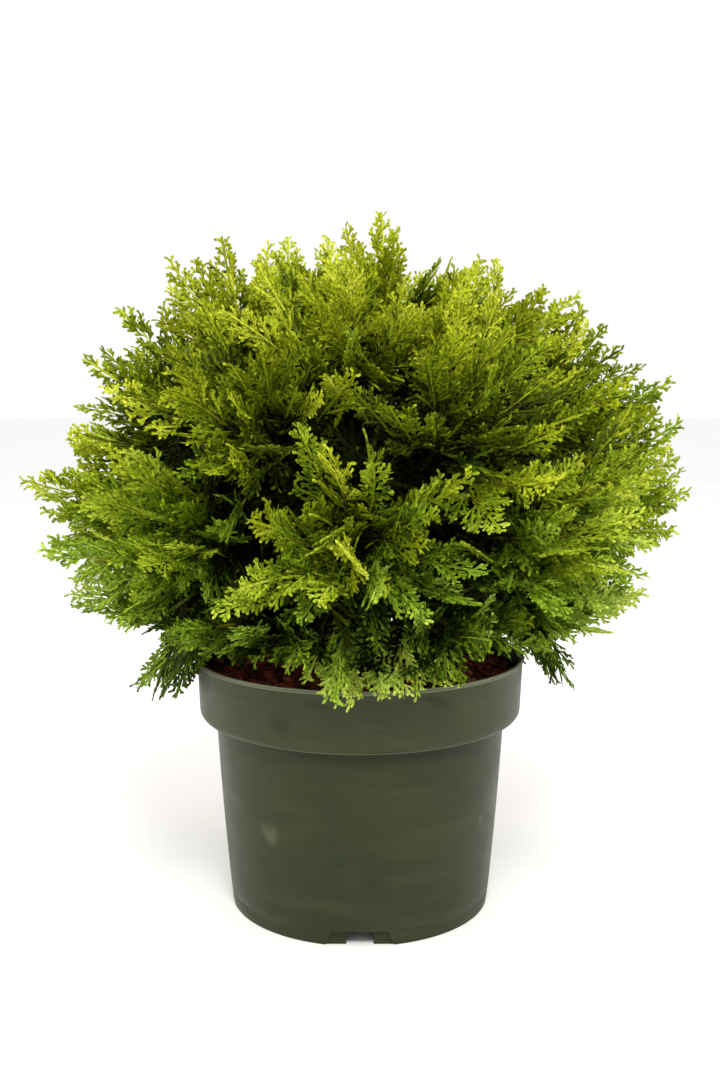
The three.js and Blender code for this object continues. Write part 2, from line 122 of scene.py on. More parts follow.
# Space of the crown
HUB = np.array([-2, 0, 262]) * MM
REACH_ELEVATIONS = (-90, -42, -24, -14, 9, 27, 36, 60, 90)
REACHES_LEFT = np.array([178, 184, 190, 218, 237, 216, 226, 228, 222]) * MM
REACHES_RIGHT = np.array([178, 178, 186, 206, 237, 242, 233, 220, 222]) * MM
CROWN_DEPTH = 0.975
REACH_TOLERANCE = 1.02
CELL_MARGIN = 0.8 * MM
CELL_SPILL = 34 * MM
POT_CLEARANCE = 3 * MM
LIMB_SPACE = 82 * MM
HANG_AT_SIDES = 143 * MM
HANG_IN_FRONT = 29 * MM
HANG_BETWEEN = 44 * MM
HANG_TURN = math.radians(8)
HANG_MARGIN = 6 * MM
# Rings of masses: name, count, elevation, first azimuth, level of the fork, stagger
RINGS = (
    ("low", 8, -24, -67.5, 184, 13),
    ("middle", 8, 7, -90, 212, 14),
    ("upper", 6, 35, -60, 245, 13),
    ("high", 4, 60, -90, 284, 12),
)

# Foliage of one mass, as in the CAD: a stem, and shoots in whorls that each end in a fan
STEM_LENGTH = 70 * MM
SHOOT_ROOT_NEAREST = 110 * MM
SHOOT_ROOT_FURTHEST = 134 * MM
LEAN_LEAST = 0.88
LEAN_MOST = 1.12
# Whorls: count, lean, phase, and the shortest and longest reach as shares of the crown's
WHORLS = (
    (1, 0, 0, 1, 1),
    (2, 8.5, 0, 0.92, 1),
    (6, 17, 0.5, 0.9, 1),
)
# Further whorls that only the scene grows, between those of the CAD
FURTHER_WHORLS = (
    (4, 8, 0.5, 0.7, 0.86),
    (6, 12.5, 0.5, 0.79, 0.92),
    (9, 23, 0.25, 0.78, 0.95),
)
FURTHER_SPILL = 14 * MM
FAN_LENGTH = 72 * MM
FAN_HALF_WIDTH = 28 * MM
FAN_TEETH = 2
TOOTH_START = 0.28
TOOTH_RUN = 0.7
TOOTH_SWELL = 0.5
GAP_START = 0.3
GAP_RUN = 0.68
GAP_REACH = 0.32
FAN_ROLL = 50
FAN_TRIES = 8
TRY_SHRINK = 0.05
TRY_DRAWN_BACK = 1.5 * MM
SEED = 20
SEED_STEP = 101
TOP_ELEVATION = 84.3


def seeded_random(seed):
    """The CAD's repeatable stream of numbers from 0 to 1."""
    state = seed

    def draw():
        nonlocal state
        state = (state + 0x6D2B79F5) & 0xFFFFFFFF
        mixed = ((state ^ (state >> 15)) * (state | 1)) & 0xFFFFFFFF
        stirred = ((mixed ^ (mixed >> 7)) * (mixed | 61)) & 0xFFFFFFFF
        mixed ^= (mixed + stirred) & 0xFFFFFFFF
        return ((mixed ^ (mixed >> 14)) & 0xFFFFFFFF) / 4294967296

    return draw


def lerp(a, b, t):
    return a + (b - a) * t


def unit(v):
    return v / np.linalg.norm(v, axis=-1, keepdims=True)


def turned(v, axis, angle):
    """v turned about a unit axis, by Rodrigues' formula."""
    cos, sin = math.cos(angle), math.sin(angle)
    return v * cos + np.cross(axis, v) * sin + axis * np.dot(axis, v) * (1 - cos)


# ---- Meshes and materials ----


def linked(name, data):
    """A new object with that data, in the scene."""
    made = bpy.data.objects.new(name, data)
    bpy.context.scene.collection.objects.link(made)
    return made


def mesh_object(name, vertices, faces, materials, material_index=None, smooth=True):
    """An object from arrays: faces is one array of rows with the same count of corners."""
    faces = np.asarray(faces, dtype=np.int32)
    mesh = bpy.data.meshes.new(name)
    mesh.vertices.add(len(vertices))
    mesh.vertices.foreach_set("co", np.asarray(vertices, dtype=np.float32).ravel())
    corners = faces.shape[1]
    mesh.loops.add(faces.size)
    mesh.loops.foreach_set("vertex_index", faces.ravel())
    mesh.polygons.add(len(faces))
    mesh.polygons.foreach_set("loop_start", np.arange(0, faces.size, corners, dtype=np.int32))
    if material_index is not None:
        mesh.polygons.foreach_set("material_index", np.asarray(material_index, dtype=np.int32))
    mesh.polygons.foreach_set("use_smooth", np.full(len(faces), smooth))
    for material in materials:
        mesh.materials.append(material)
    mesh.update(calc_edges=True)
    mesh.validate()
    return linked(name, mesh)


def quads_to_triangles(quads):
    quads = np.asarray(quads)
    return np.concatenate([quads[:, [0, 1, 2]], quads[:, [0, 2, 3]]])


def ring_faces(rows, segments):
    """Triangles of a closed skin whose vertices are rows of rings, then one at each end."""
    here = np.arange(segments)
    ahead = (here + 1) % segments
    starts = segments * np.arange(rows)
    faces = [
        quads_to_triangles(np.stack([low + here, low + ahead, high + ahead, high + here], axis=1))
        for low, high in zip(starts, starts[1:])
    ]
    first = np.full(segments, segments * rows)
    faces.append(np.stack([first, ahead, here], axis=1))
    faces.append(np.stack([first + 1, starts[-1] + here, starts[-1] + ahead], axis=1))
    return np.concatenate(faces)


def around(radii, segments):
    """x and y of rings about Z."""
    angles = np.linspace(0, 2 * math.pi, segments, endpoint=False)
    return np.outer(radii, np.cos(angles)), np.outer(radii, np.sin(angles))


def joined(parts):
    """Vertices and faces of one mesh from those of several parts."""
    offsets = np.cumsum([0] + [len(vertices) for vertices, _ in parts])
    faces = [rows + offset for (_, rows), offset in zip(parts, offsets)]
    return np.concatenate([vertices for vertices, _ in parts]), np.concatenate(faces)


def srgb(red, green, blue):
    """Linear colour from 8-bit display values."""
    values = [value / 255 for value in (red, green, blue)]
    return [v / 12.92 if v <= 0.04045 else ((v + 0.055) / 1.055) ** 2.4 for v in values] + [1]


SPOT_NOISE = 110
SPOT_WANDER = 1.3


class Nodes:
    """A short way to write a material's node tree."""

    def __init__(self, name):
        self.material = bpy.data.materials.new(name)
        self.material.use_nodes = True
        self.tree = self.material.node_tree
        self.shader = self.tree.nodes["Principled BSDF"]
        self.place = self.add("ShaderNodeTexCoord").outputs["Object"]

    def add(self, kind, inputs=None, **settings):
        node = self.tree.nodes.new(kind)
        for key, value in settings.items():
            setattr(node, key, value)
        for key, value in (inputs or {}).items():
            node.inputs[key].default_value = value
        return node

    def link(self, source, target):
        self.tree.links.new(source, target)

    def noise(self, scale, detail=3.0, roughness=0.55, stretch=None, output="Fac"):
        inputs = {"Scale": scale, "Detail": detail, "Roughness": roughness}
        node = self.add("ShaderNodeTexNoise", inputs)
        place = self.place
        if stretch is not None:
            mapping = self.add("ShaderNodeMapping", {"Scale": stretch})
            self.link(place, mapping.inputs["Vector"])
            place = mapping.outputs["Vector"]
        self.link(place, node.inputs["Vector"])
        return node.outputs[output]

    def ramp(self, factor, *stops):
        """Colour ramp from (position, colour) stops; a number stands for a grey."""
        node = self.add("ShaderNodeValToRGB")
        elements = node.color_ramp.elements
        while len(elements) < len(stops):
            elements.new(0.5)
        for element, (position, colour) in zip(elements, stops):
            element.position = position
            element.color = colour if isinstance(colour, list) else [colour] * 3 + [1]
        self.link(factor, node.inputs["Fac"])
        return node.outputs["Color"]

    def between(self, value, low, high, *stops):
        """Ramp whose stops run from 0 at low to 1 at high."""
        node = self.add("ShaderNodeMapRange", {"From Min": low, "From Max": high})
        self.link(value, node.inputs["Value"])
        return self.ramp(node.outputs["Result"], *stops)

    def spot(self, place, radius, strength):
        """A soft ragged spot round a place in millimetres."""
        ragged = self.noise(SPOT_NOISE, roughness=0.5, output="Color")
        wander = SPOT_WANDER * radius * MM
        centre = [v * MM + wander / 2 for v in place]
        shift = self.add("ShaderNodeVectorMath", {1: (wander,) * 3}, operation="MULTIPLY_ADD")
        self.link(ragged, shift.inputs[0])
        self.link(self.place, shift.inputs[2])
        distance = self.add("ShaderNodeVectorMath", {1: centre}, operation="DISTANCE")
        self.link(shift.outputs["Vector"], distance.inputs[0])
        stops = (0.0, strength), (0.4, 0.7 * strength), (1.0, 0.0)
        return self.between(distance.outputs["Value"], 0, radius * MM, *stops)

    def mix(self, factor, first, second, blend="MIX"):
        """Mixed colour: sockets 0, 6 and 7 are the node's factor and its two colours."""
        node = self.add("ShaderNodeMix", data_type="RGBA", blend_type=blend)
        for socket, value in zip((node.inputs[0], node.inputs[6], node.inputs[7]), (factor, first, second)):
            if isinstance(value, (int, float, list)):
                socket.default_value = value
            else:
                self.link(value, socket)
        return node.outputs[2]

    def bump(self, height, distance, strength=1.0):
        node = self.add("ShaderNodeBump", {"Distance": distance, "Strength": strength})
        self.link(height, node.inputs["Height"])
        self.link(node.outputs["Normal"], self.shader.inputs["Normal"])

    def colour(self, output):
        self.link(output, self.shader.inputs["Base Color"])

    def rough(self, output):
        self.link(output, self.shader.inputs["Roughness"])


# Marks on the container: place and radius in mm, strength, colour. The first is a painted highlight at the
# front left, the second a smaller light mark, the rest dark smudges.
POT_MARKS = (
    ((-59.5, -77.8, 71), 9, 0.26, (112, 118, 96)),
    ((83, -54.5, 73), 5, 0.25, (112, 118, 96)),
    ((-50.7, -102.3, 153), 12, 0.5, (24, 30, 17)),
    ((10, -97.5, 51), 15, 0.45, (27, 30, 17)),
    ((-20, -97, 47), 11, 0.35, (27, 30, 17)),
)


def pot_material():
    """Olive green plastic, scuffed sideways, with painted highlights on its lip, along the band's lower edge
    and at the front left, and a painted shadow under its band.
    """
    n = Nodes("olive_green_plastic")
    split = n.add("ShaderNodeSeparateXYZ")
    n.link(n.place, split.inputs["Vector"])
    height = split.outputs["Z"]
    coat = n.ramp(n.noise(14, detail=4), (0.32, srgb(36, 42, 21)), (0.68, srgb(43, 49, 25)))
    lower = n.between(height, 55 * MM, 72 * MM, (0.0, 0.5), (1.0, 0.0))
    # The band is a little lighter than the body, from its lower corner up.
    lighter_band = n.between(height, BAND_BOTTOM, BAND_BOTTOM + BAND_CORNER, (0.0, 0.0), (1.0, 0.07))
    smudge = n.ramp(n.noise(26, detail=5, stretch=(1, 1, 2.6)), (0.62, 0.0), (0.72, 0.8))
    scuff = n.ramp(n.noise(45, detail=6, stretch=(0.3, 0.3, 1.6)), (0.5, 0.0), (0.8, 0.28))
    spots = [(n.spot(place, radius, strength), over) for place, radius, strength, over in POT_MARKS]
    # Painted shadow under the band: darkest just below it, cut off above it by below.
    shadow = n.between(height, BAND_BOTTOM - 14 * MM, BAND_BOTTOM, (0.0, 0.0), (0.94, 0.7), (1.0, 0.3))
    below = n.between(height, BAND_BOTTOM, BAND_BOTTOM + 0.5 * MM, (0.0, 1.0), (1.0, 0.0))
    painted_band_shadow = n.mix(1.0, shadow, below, blend="MULTIPLY")
    # Painted highlights: a thin light line just above the band's lower edge, and light lines on the lip.
    band_edge_highlight = n.between(height, BAND_BOTTOM, BAND_BOTTOM + 2 * MM, (0.0, 0.0), (0.3, 0.6), (1.0, 0.0))
    lip = n.between(height, POT_HEIGHT - 3 * MM, POT_HEIGHT, (0.0, 0.0), (0.3, 0.5), (0.5, 0.1), (0.9, 0.7))
    layers = [
        (lower, (39, 40, 23)), (lighter_band, (104, 108, 78)), (smudge, (30, 38, 22)), (scuff, (72, 74, 50)),
        *spots, (painted_band_shadow, (27, 22, 14)), (band_edge_highlight, (128, 134, 108)), (lip, (142, 148, 122)),
    ]
    for share, over in layers:
        coat = n.mix(share, coat, srgb(*over))
    n.colour(coat)
    n.shader.inputs["Specular IOR Level"].default_value = 0.18
    n.rough(n.ramp(n.noise(30, detail=5), (0.3, 0.36), (0.7, 0.5)))
    n.bump(n.noise(900, detail=2), 0.00006, 0.5)
    return n.material


def mulch_material(name, dark, light):
    n = Nodes(name)
    grain = n.noise(420, detail=5, stretch=(1, 1, 0.35))
    n.colour(n.ramp(grain, (0.3, dark), (0.7, light)))
    n.shader.inputs["Roughness"].default_value = 0.92
    n.bump(grain, 0.0006, 0.8)
    return n.material


def bark_material(name, dark, middle, light):
    n = Nodes(name)
    strip = n.noise(260, detail=6, stretch=(1, 1, 0.18))
    n.colour(n.ramp(strip, (0.3, dark), (0.55, middle), (0.75, light)))
    n.shader.inputs["Roughness"].default_value = 0.88
    n.bump(strip, 0.0008, 0.7)
    return n.material


def leaf_material(name, colour, specular):
    """Scale leaves: one plain base colour with a fine even mottle."""
    n = Nodes(name)
    mottle = n.ramp(n.noise(700, detail=3), (0.36, 0.48), (0.64, 1.34))
    n.colour(n.mix(1.0, colour, mottle, blend="MULTIPLY"))
    n.shader.inputs["Roughness"].default_value = 0.6
    n.shader.inputs["Specular IOR Level"].default_value = specular
    return n.material


# ---- Container ----


def body_radius(height):
    t = height / BAND_BOTTOM
    return lerp(FOOT_RADIUS, BODY_TOP_RADIUS, t) + BODY_BULGE * math.sin(math.pi * t)


def arc(centre, radius, first, last, steps):
    """Points (radius, height) on an arc, angles in degrees from the outward direction."""
    angles = [math.radians(lerp(first, last, i / steps)) for i in range(steps + 1)]
    return [(centre[0] + radius * math.cos(a), centre[1] + radius * math.sin(a)) for a in angles]


def band_corner(inset, steps):
    centre = (BAND_LOW_RADIUS - BAND_CORNER, BAND_BOTTOM + BAND_CORNER)
    return arc(centre, BAND_CORNER - inset, -90, 0, steps)


def pot_profile():
    """Closed outline (radius, height) of the container's wall from axis to axis."""
    foot = 0.8 * MM
    line = 0.35 * MM
    bead = 0.9 * MM
    outside = arc((FOOT_RADIUS - foot, foot), foot, -90, 0, 4)
    for height, inset in ((-0.8, 0), (0, line), (0.8, 0)):
        place = FOOT_LINE + height * MM
        outside.append((body_radius(place) - inset, place))
    outside += [(body_radius(h), h) for h in np.linspace(0.13, 0.985, 12) * BAND_BOTTOM]
    fillet = 1.2 * MM
    root = body_radius(BAND_BOTTOM)
    outside += [(root, BAND_BOTTOM - fillet), (root + 0.35 * fillet, BAND_BOTTOM - 0.35 * fillet)]
    outside += [(root + fillet, BAND_BOTTOM)]
    outside += band_corner(0, 8)
    lip = 3.2 * MM
    step = 0.3 * MM
    band_top = POT_HEIGHT - lip
    for t in (0.25, 0.5, 0.75, 1):
        height = lerp(BAND_BOTTOM + BAND_CORNER, band_top, t)
        outside.append((lerp(BAND_LOW_RADIUS, RIM_RADIUS - 0.5 * MM, t), height))
    outside.append((RIM_RADIUS - step, band_top + 0.5 * MM))
    outside.append((RIM_RADIUS + step, band_top + 1.1 * MM))
    outside += arc((RIM_RADIUS + step - bead, POT_HEIGHT - bead), bead, 0, 90, 4)
    inside = arc((RIM_RADIUS - POT_WALL + bead, POT_HEIGHT - bead), bead, 90, 180, 4)
    inside += band_corner(POT_WALL, 5)[::-1]
    inside += [(body_radius(h) - POT_WALL, h) for h in (BAND_BOTTOM, BAND_BOTTOM / 2, FLOOR_TOP)]
    underside = [
        (0, FLOOR_UNDERSIDE),
        (body_radius(FLOOR_UNDERSIDE) - POT_WALL, FLOOR_UNDERSIDE),
        (FOOT_RADIUS - POT_WALL, 0),
    ]
    return underside + outside + inside + [(0, FLOOR_TOP)]


def lathe(name, profile, segments, materials):
    """A closed solid of revolution about Z, from a profile that starts and ends on the axis."""
    profile = np.array(profile)
    inner = profile[1:-1]
    x, y = around(inner[:, 0], segments)
    rings = np.stack([x, y, np.repeat(inner[:, 1:], segments, axis=1)], axis=-1)
    ends = [[0, 0, profile[0, 1]], [0, 0, profile[-1, 1]]]
    vertices = np.concatenate([rings.reshape(-1, 3), ends])
    return mesh_object(name, vertices, ring_faces(len(inner), segments), materials)


def radial_block(width, height, draft, rounding, inner_radius, outer_radius, azimuth, low=-5 * MM):
    """A block that runs out from the axis, of that width at the ground; low may lie under it."""
    half = width / 2
    foot = half - draft * low / (height - rounding)
    outline = [(-foot, low), (foot, low)]
    for side in (1, -1):
        centre = (side * (half - draft - rounding), height - rounding)
        first = 0 if side == 1 else 90
        outline += arc(centre, rounding, first, first + 90, 4)
    outward = Vector((math.cos(azimuth), math.sin(azimuth), 0))
    across = Vector((0, 0, 1)).cross(outward)
    vertices = [
        outward * radius + across * x + Vector((0, 0, z))
        for radius in (inner_radius, outer_radius)
        for x, z in outline
    ]
    count = len(outline)
    faces = [list(range(count))[::-1], list(range(count, 2 * count))]
    for i in range(count):
        j = (i + 1) % count
        faces.append([i, j, count + j, count + i])
    mesh = bpy.data.meshes.new("cutter")
    mesh.from_pydata(vertices, [], faces)
    return linked("cutter", mesh)


def boolean(target, cutter, operation):
    modifier = target.modifiers.new("cut", "BOOLEAN")
    modifier.object = cutter
    modifier.operation = operation
    modifier.solver = "EXACT"
    graph = bpy.context.evaluated_depsgraph_get()
    made = bpy.data.meshes.new_from_object(target.evaluated_get(graph))
    target.modifiers.clear()
    target.data = made
    bpy.data.objects.remove(cutter)


def make_pot():
    pot = lathe("pot_shell", pot_profile(), POT_SEGMENTS, [pot_material()])
    for i in range(NOTCH_COUNT):
        azimuth = math.radians(NOTCH_FIRST_AZIMUTH + i * 360 / NOTCH_COUNT)
        inner = RECESS_FLOOR_RADIUS - POT_WALL
        outer = RECESS_FLOOR_RADIUS + BACKING_OVERLAP
        backing_width = RECESS_WIDTH + 2 * POT_WALL
        backing = radial_block(backing_width, FLOOR_TOP - BACKING_OVERLAP, RECESS_DRAFT,
                               RECESS_ROUNDING, inner, outer, azimuth, 0)
        boolean(pot, backing, "UNION")
        recess = radial_block(RECESS_WIDTH, FLOOR_UNDERSIDE, RECESS_DRAFT, RECESS_ROUNDING,
                              RECESS_FLOOR_RADIUS, NOTCH_OUTSIDE_RADIUS, azimuth)
        boolean(pot, recess, "DIFFERENCE")
        slot = radial_block(SLOT_WIDTH, FLOOR_UNDERSIDE, 0, SLOT_ROUNDING,
                            inner - SLOT_START, NOTCH_OUTSIDE_RADIUS, azimuth)
        boolean(pot, slot, "DIFFERENCE")
    pot.data.polygons.foreach_set("use_smooth", np.full(len(pot.data.polygons), True))
    pot.data.set_sharp_from_angle(angle=math.radians(35))
    return pot


# ---- Mulch ----


def ground_height(x, y):
    """Uneven level of the mulch."""
    mounds = np.sin(91 * x + 1.3) * np.cos(77 * y)
    return SOIL_LEVEL + UNEVENNESS * (mounds + 0.6 * np.sin(160 * x - 120 * y))


def mulch_bed():
    """Vertices and faces of the bed: rings from its middle to its edge, and one under that."""
    radii = np.linspace(0, 1, BED_RINGS + 1)[1:] * SOIL_RADIUS
    x, y = around(radii, BED_SEGMENTS)
    bottom = SOIL_LEVEL - SOIL_DEPTH
    top = np.stack([x, y, ground_height(x, y) - BED_UNDER_CHIPS], axis=-1).reshape(-1, 3)
    under = np.full(BED_SEGMENTS, bottom)
    floor_ring = np.stack([x[-1] * BED_TAPER, y[-1] * BED_TAPER, under], axis=-1)
    ends = [[0, 0, SOIL_LEVEL - BED_UNDER_CHIPS], [0, 0, bottom]]
    inward_faces = ring_faces(BED_RINGS + 1, BED_SEGMENTS)
    return np.concatenate([top, floor_ring, ends]), inward_faces[:, ::-1]


def fallen_chips(rng):
    """Vertices and faces of flat boxes with jittered corners, tilted as they fell."""
    corners = np.array([[i, j, k] for i in (-1, 1) for j in (-1, 1) for k in (-1, 1)]) * 0.5
    box = np.array([[0, 1, 3, 2], [4, 6, 7, 5], [0, 4, 5, 1], [2, 3, 7, 6], [0, 2, 6, 4], [1, 5, 7, 3]])
    count = CHIP_COUNT
    size = np.stack([rng.uniform(*sizes, count) for sizes in CHIP_SIZES], axis=1) * MM
    jitter = 1 + rng.uniform(-CHIP_JITTER, CHIP_JITTER, (count, 8, 3))
    chips = corners[None] * jitter * size[:, None]
    yaw = rng.uniform(0, 2 * math.pi, count)
    tilt = rng.normal(0, CHIP_TILT, count)
    roll = rng.normal(0, CHIP_ROLL, count)
    for axis, angle in enumerate((roll, tilt, yaw)):
        chips = spin(chips, axis, angle)
    radius = (SOIL_RADIUS - CHIP_EDGE) * np.sqrt(rng.uniform(0, 1, count))
    azimuth = rng.uniform(0, 2 * math.pi, count)
    x, y = radius * np.cos(azimuth), radius * np.sin(azimuth)
    z = ground_height(x, y) + rng.uniform(*CHIP_LEVELS, count) * MM
    chips = chips + np.stack([x, y, z], axis=1)[:, None]
    faces = quads_to_triangles(box)[None] + (8 * np.arange(count))[:, None, None]
    return chips.reshape(-1, 3), faces.reshape(-1, 3)


def make_mulch(rng):
    materials = [
        mulch_material("mulch_dark", srgb(60, 24, 14), srgb(104, 44, 28)),
        mulch_material("mulch_red", srgb(122, 46, 28), srgb(176, 78, 50)),
        mulch_material("mulch_tan", srgb(140, 76, 48), srgb(188, 118, 82)),
    ]
    bed = mulch_bed()
    chips = fallen_chips(rng)
    tones = rng.choice(len(materials), CHIP_COUNT, p=CHIP_SHARES)
    index = np.concatenate([np.zeros(len(bed[1])), np.repeat(tones, len(chips[1]) // CHIP_COUNT)])
    return mesh_object("bark_chips", *joined([bed, chips]), materials, index, smooth=False)


def spin(points, axis, angle):
    """Points (n, k, 3) turned about a coordinate axis by n angles."""
    a, b = [(1, 2), (2, 0), (0, 1)][axis]
    cos, sin = np.cos(angle)[:, None], np.sin(angle)[:, None]
    turned_points = points.copy()
    turned_points[..., a] = points[..., a] * cos - points[..., b] * sin
    turned_points[..., b] = points[..., a] * sin + points[..., b] * cos
    return turned_points


# ---- Trunk and boughs ----


def bezier(a, b, c, t):
    t = np.asarray(t)[..., None]
    return a * (1 - t) ** 2 + b * 2 * t * (1 - t) + c * t**2


def limb(points, radii, sides, rng):
    """Vertices and faces of a closed round limb along points, with ridged bark."""
    tangents = unit(np.gradient(points, axis=0))
    helper = np.array([1.0, 0, 0]) if abs(tangents[0][0]) < 0.9 else np.array([0, 1.0, 0])
    across = unit(np.cross(tangents, helper))
    other = np.cross(tangents, across)
    angles = np.linspace(0, 2 * math.pi, sides, endpoint=False)
    along = np.arange(len(points))[:, None]
    # One phase more than there are ridges is drawn, and the last one isn't used
    phases = rng.uniform(0, 2 * math.pi, len(RIDGES) + 1)
    ridges = sum(
        height * np.sin(count * angles + phase + drift * along)
        for (count, height, drift), phase in zip(RIDGES, phases)
    )
    flakes = rng.normal(0, 0.5, (len(points), sides))
    reach = radii[:, None] * (1 + BARK_RELIEF * (0.4 * ridges + 0.6 * flakes))
    rings = (
        points[:, None]
        + across[:, None] * (reach * np.cos(angles))[..., None]
        + other[:, None] * (reach * np.sin(angles))[..., None]
    )
    vertices = np.concatenate([rings.reshape(-1, 3), points[:1], points[-1:]])
    return vertices, ring_faces(len(points), sides)


def trunk_centre(height):
    t = np.clip((height - TRUNK_FOOT[2]) / (TRUNK_TIP[2] - TRUNK_FOOT[2]), 0, 1)
    return bezier(TRUNK_FOOT, TRUNK_BEND, TRUNK_TIP, t)


def make_limbs(cells, rng):
    """The trunk and every bough in bark, as one mesh that replaces their nodes."""
    t = np.linspace(0, 1, TRUNK_STEPS)
    path = bezier(TRUNK_FOOT + TRUNK_RAISED * UP, TRUNK_BEND, TRUNK_TIP, t)
    length = np.linalg.norm(np.diff(path, axis=0), axis=1).sum()
    flare = ROOT_FLARE * np.exp(-t * length / ROOT_FLARE_HEIGHT)
    radii = lerp(TRUNK_FOOT_RADIUS, TRUNK_TIP_RADIUS, t) + flare
    parts = [limb(path, radii, TRUNK_SIDES, rng)]
    nodes = ["trunk"]
    t = np.linspace(BOUGH_START, 1, BOUGH_STEPS)
    radii = lerp(BOUGH_ROOT_RADIUS, BOUGH_TIP_RADIUS, t)
    for cell in cells:
        if cell["fork"] is not None:
            bend = cell["limb_tip"] - BOUGH_STRAIGHT * cell["axis"]
            path = bezier(trunk_centre(cell["fork"]), bend, cell["limb_tip"], t)
            parts.append(limb(path, radii, BOUGH_SIDES, rng))
            nodes.append(f"bough_{cell['name']}")
    bark = bark_material("red_brown_bark", srgb(58, 34, 22), srgb(104, 62, 42), srgb(140, 96, 70))
    return mesh_object("trunk_and_boughs", *joined(parts), [bark]), nodes


# ---- Space of the crown, as in the CAD ----


def direction_from(azimuth, elevation):
    a, e = math.radians(azimuth), math.radians(elevation)
    return np.array([math.cos(e) * math.cos(a), math.cos(e) * math.sin(a), math.sin(e)])


def make_cells():
    cells = []
    for ring, count, elevation, azimuth, fork, stagger in RINGS:
        for i in range(count):
            cells.append({
                "name": f"{ring}_{i + 1}",
                "ring": ring,
                "axis": direction_from(azimuth + i * 360 / count, elevation),
                "fork": (fork + (i % 2) * stagger) * MM,
            })
    top_axis = direction_from(0, TOP_ELEVATION)
    cells.append({"name": "crown_top", "ring": "high", "axis": top_axis, "fork": None})
    axes = np.array([cell["axis"] for cell in cells])
    for i, cell in enumerate(cells):
        cell["limb_tip"] = TRUNK_TIP if cell["fork"] is None else HUB + BOUGH_REACH * cell["axis"]
        cell["seed"] = SEED + SEED_STEP * (i + 1)
        cell["walls"] = unit(np.delete(axes, i, axis=0) - cell["axis"])
    return cells


def crown_reach(direction):
    """Distance from the hub to the crown's outer surface."""
    elevation = math.degrees(math.asin(max(-1.0, min(1.0, direction[2]))))
    reaches = lerp(REACHES_LEFT, REACHES_RIGHT, (1 + direction[0]) / 2)
    reach = np.interp(elevation, REACH_ELEVATIONS, reaches)
    return reach * (1 - (1 - CROWN_DEPTH) * direction[1] ** 2)


def hang_height(point):
    """Lowest level of the foliage round the rim: lowest at the sides, highest between."""
    azimuth = math.atan2(point[1], point[0]) - HANG_TURN
    return HANG_AT_SIDES + HANG_IN_FRONT * math.sin(azimuth) ** 2 + HANG_BETWEEN * math.sin(2 * azimuth) ** 2


def over_pot(point, clearance):
    return math.hypot(point[0], point[1]) > RIM_RADIUS + clearance or point[2] > POT_HEIGHT + clearance


def is_free(point, cell, margin=CELL_MARGIN, tolerance=REACH_TOLERANCE):
    offset = point - HUB
    distance = np.linalg.norm(offset)
    if np.max(cell["walls"] @ offset) >= -margin or distance <= LIMB_SPACE:
        return False
    in_crown = distance < tolerance * crown_reach(offset / distance)
    return in_crown and over_pot(point, POT_CLEARANCE) and point[2] > hang_height(point)


# ---- Shoots and fans, as in the CAD ----


def square_to(axis, turn):
    helper = UP if abs(axis[2]) < 0.9 else np.array([1.0, 0, 0])
    return turned(unit(np.cross(helper, axis)), axis, turn)


def grow_shoots(cell, random, whorls):
    """Shoots of a mass, from places on its stem to tips near the crown's surface."""
    shoots = []
    first_turn = 2 * math.pi * random()
    for count, usual_lean, phase, shortest, longest in whorls:
        for k in range(count):
            lean = math.radians(usual_lean * lerp(LEAN_LEAST, LEAN_MOST, random()))
            turn = first_turn + 2 * math.pi * (k + phase) / count
            outward = square_to(cell["axis"], turn)
            direction = turned(cell["axis"], outward, lean)
            reach = crown_reach(direction) * lerp(shortest, longest, random())
            tip = HUB + reach * direction
            tip[2] = max(tip[2], hang_height(tip) + HANG_MARGIN)
            root = HUB + cell["axis"] * lerp(SHOOT_ROOT_NEAREST, SHOOT_ROOT_FURTHEST, random())
            shoots.append({"root": root, "tip": tip, "axis": unit(tip - root), "outward": outward})
    return shoots


def fan_outline(length, half_width):
    side = []
    for k in range(FAN_TEETH):
        t = (k + 1) / (FAN_TEETH + 1)
        reach = half_width * math.sin(math.pi * (TOOTH_START + TOOTH_SWELL * t))
        side.append((reach, length * (TOOTH_START + TOOTH_RUN * t)))
        side.append((reach * GAP_REACH, length * (GAP_START + GAP_RUN * t)))
    return side + [(0, length)] + [(-x, y) for x, y in side[::-1]]


def fan_tip(cell, random, shoot):
    """Tip of the CAD's fan at the end of a shoot, or of the shoot where no fan fits."""
    facing = unit(np.cross(shoot["outward"], shoot["axis"]))
    for attempt in range(FAN_TRIES):
        size = 1 - TRY_SHRINK * attempt
        roll = math.radians(FAN_ROLL * (2 * random() - 1))
        length = FAN_LENGTH * size
        tip = shoot["tip"] - TRY_DRAWN_BACK * attempt * shoot["axis"]
        across = np.cross(shoot["axis"], turned(facing, shoot["axis"], roll))
        root = tip - length * shoot["axis"]
        outline = fan_outline(length, FAN_HALF_WIDTH * size)
        if all(is_free(root + across * x + shoot["axis"] * y, cell) for x, y in outline):
            return tip
    return shoot["tip"]


# ---- Sprays ----

# A spray is drawn flat by a rule: an axis with side branches on alternate sides, which
# carry branchlets in the same way. An axis or branch is a closed three-sided spindle, and
# a branchlet a flat blunt lobe of three faces.
SPRAY_LENGTHS = (16, 22, 28, 35, 42, 50, 58)
SPRAY_VARIANTS = 6
TWIG_WIDTH = 1.9 * MM
# Fine sprays of the sunny outside, open ones with long fingers low down, and coarse ones inside
STYLES = {
    "fine": {"branches": 4.2 * MM, "branchlets": 2.55 * MM, "longest": 5.6 * MM, "width": 1},
    "open": {"branches": 4.5 * MM, "branchlets": 3.0 * MM, "longest": 8.5 * MM, "width": 0.95},
    "coarse": {"branches": 6.3 * MM, "branchlets": 7.5 * MM, "longest": 5.6 * MM, "width": 1.5},
}
OPEN_LEVEL = 222 * MM
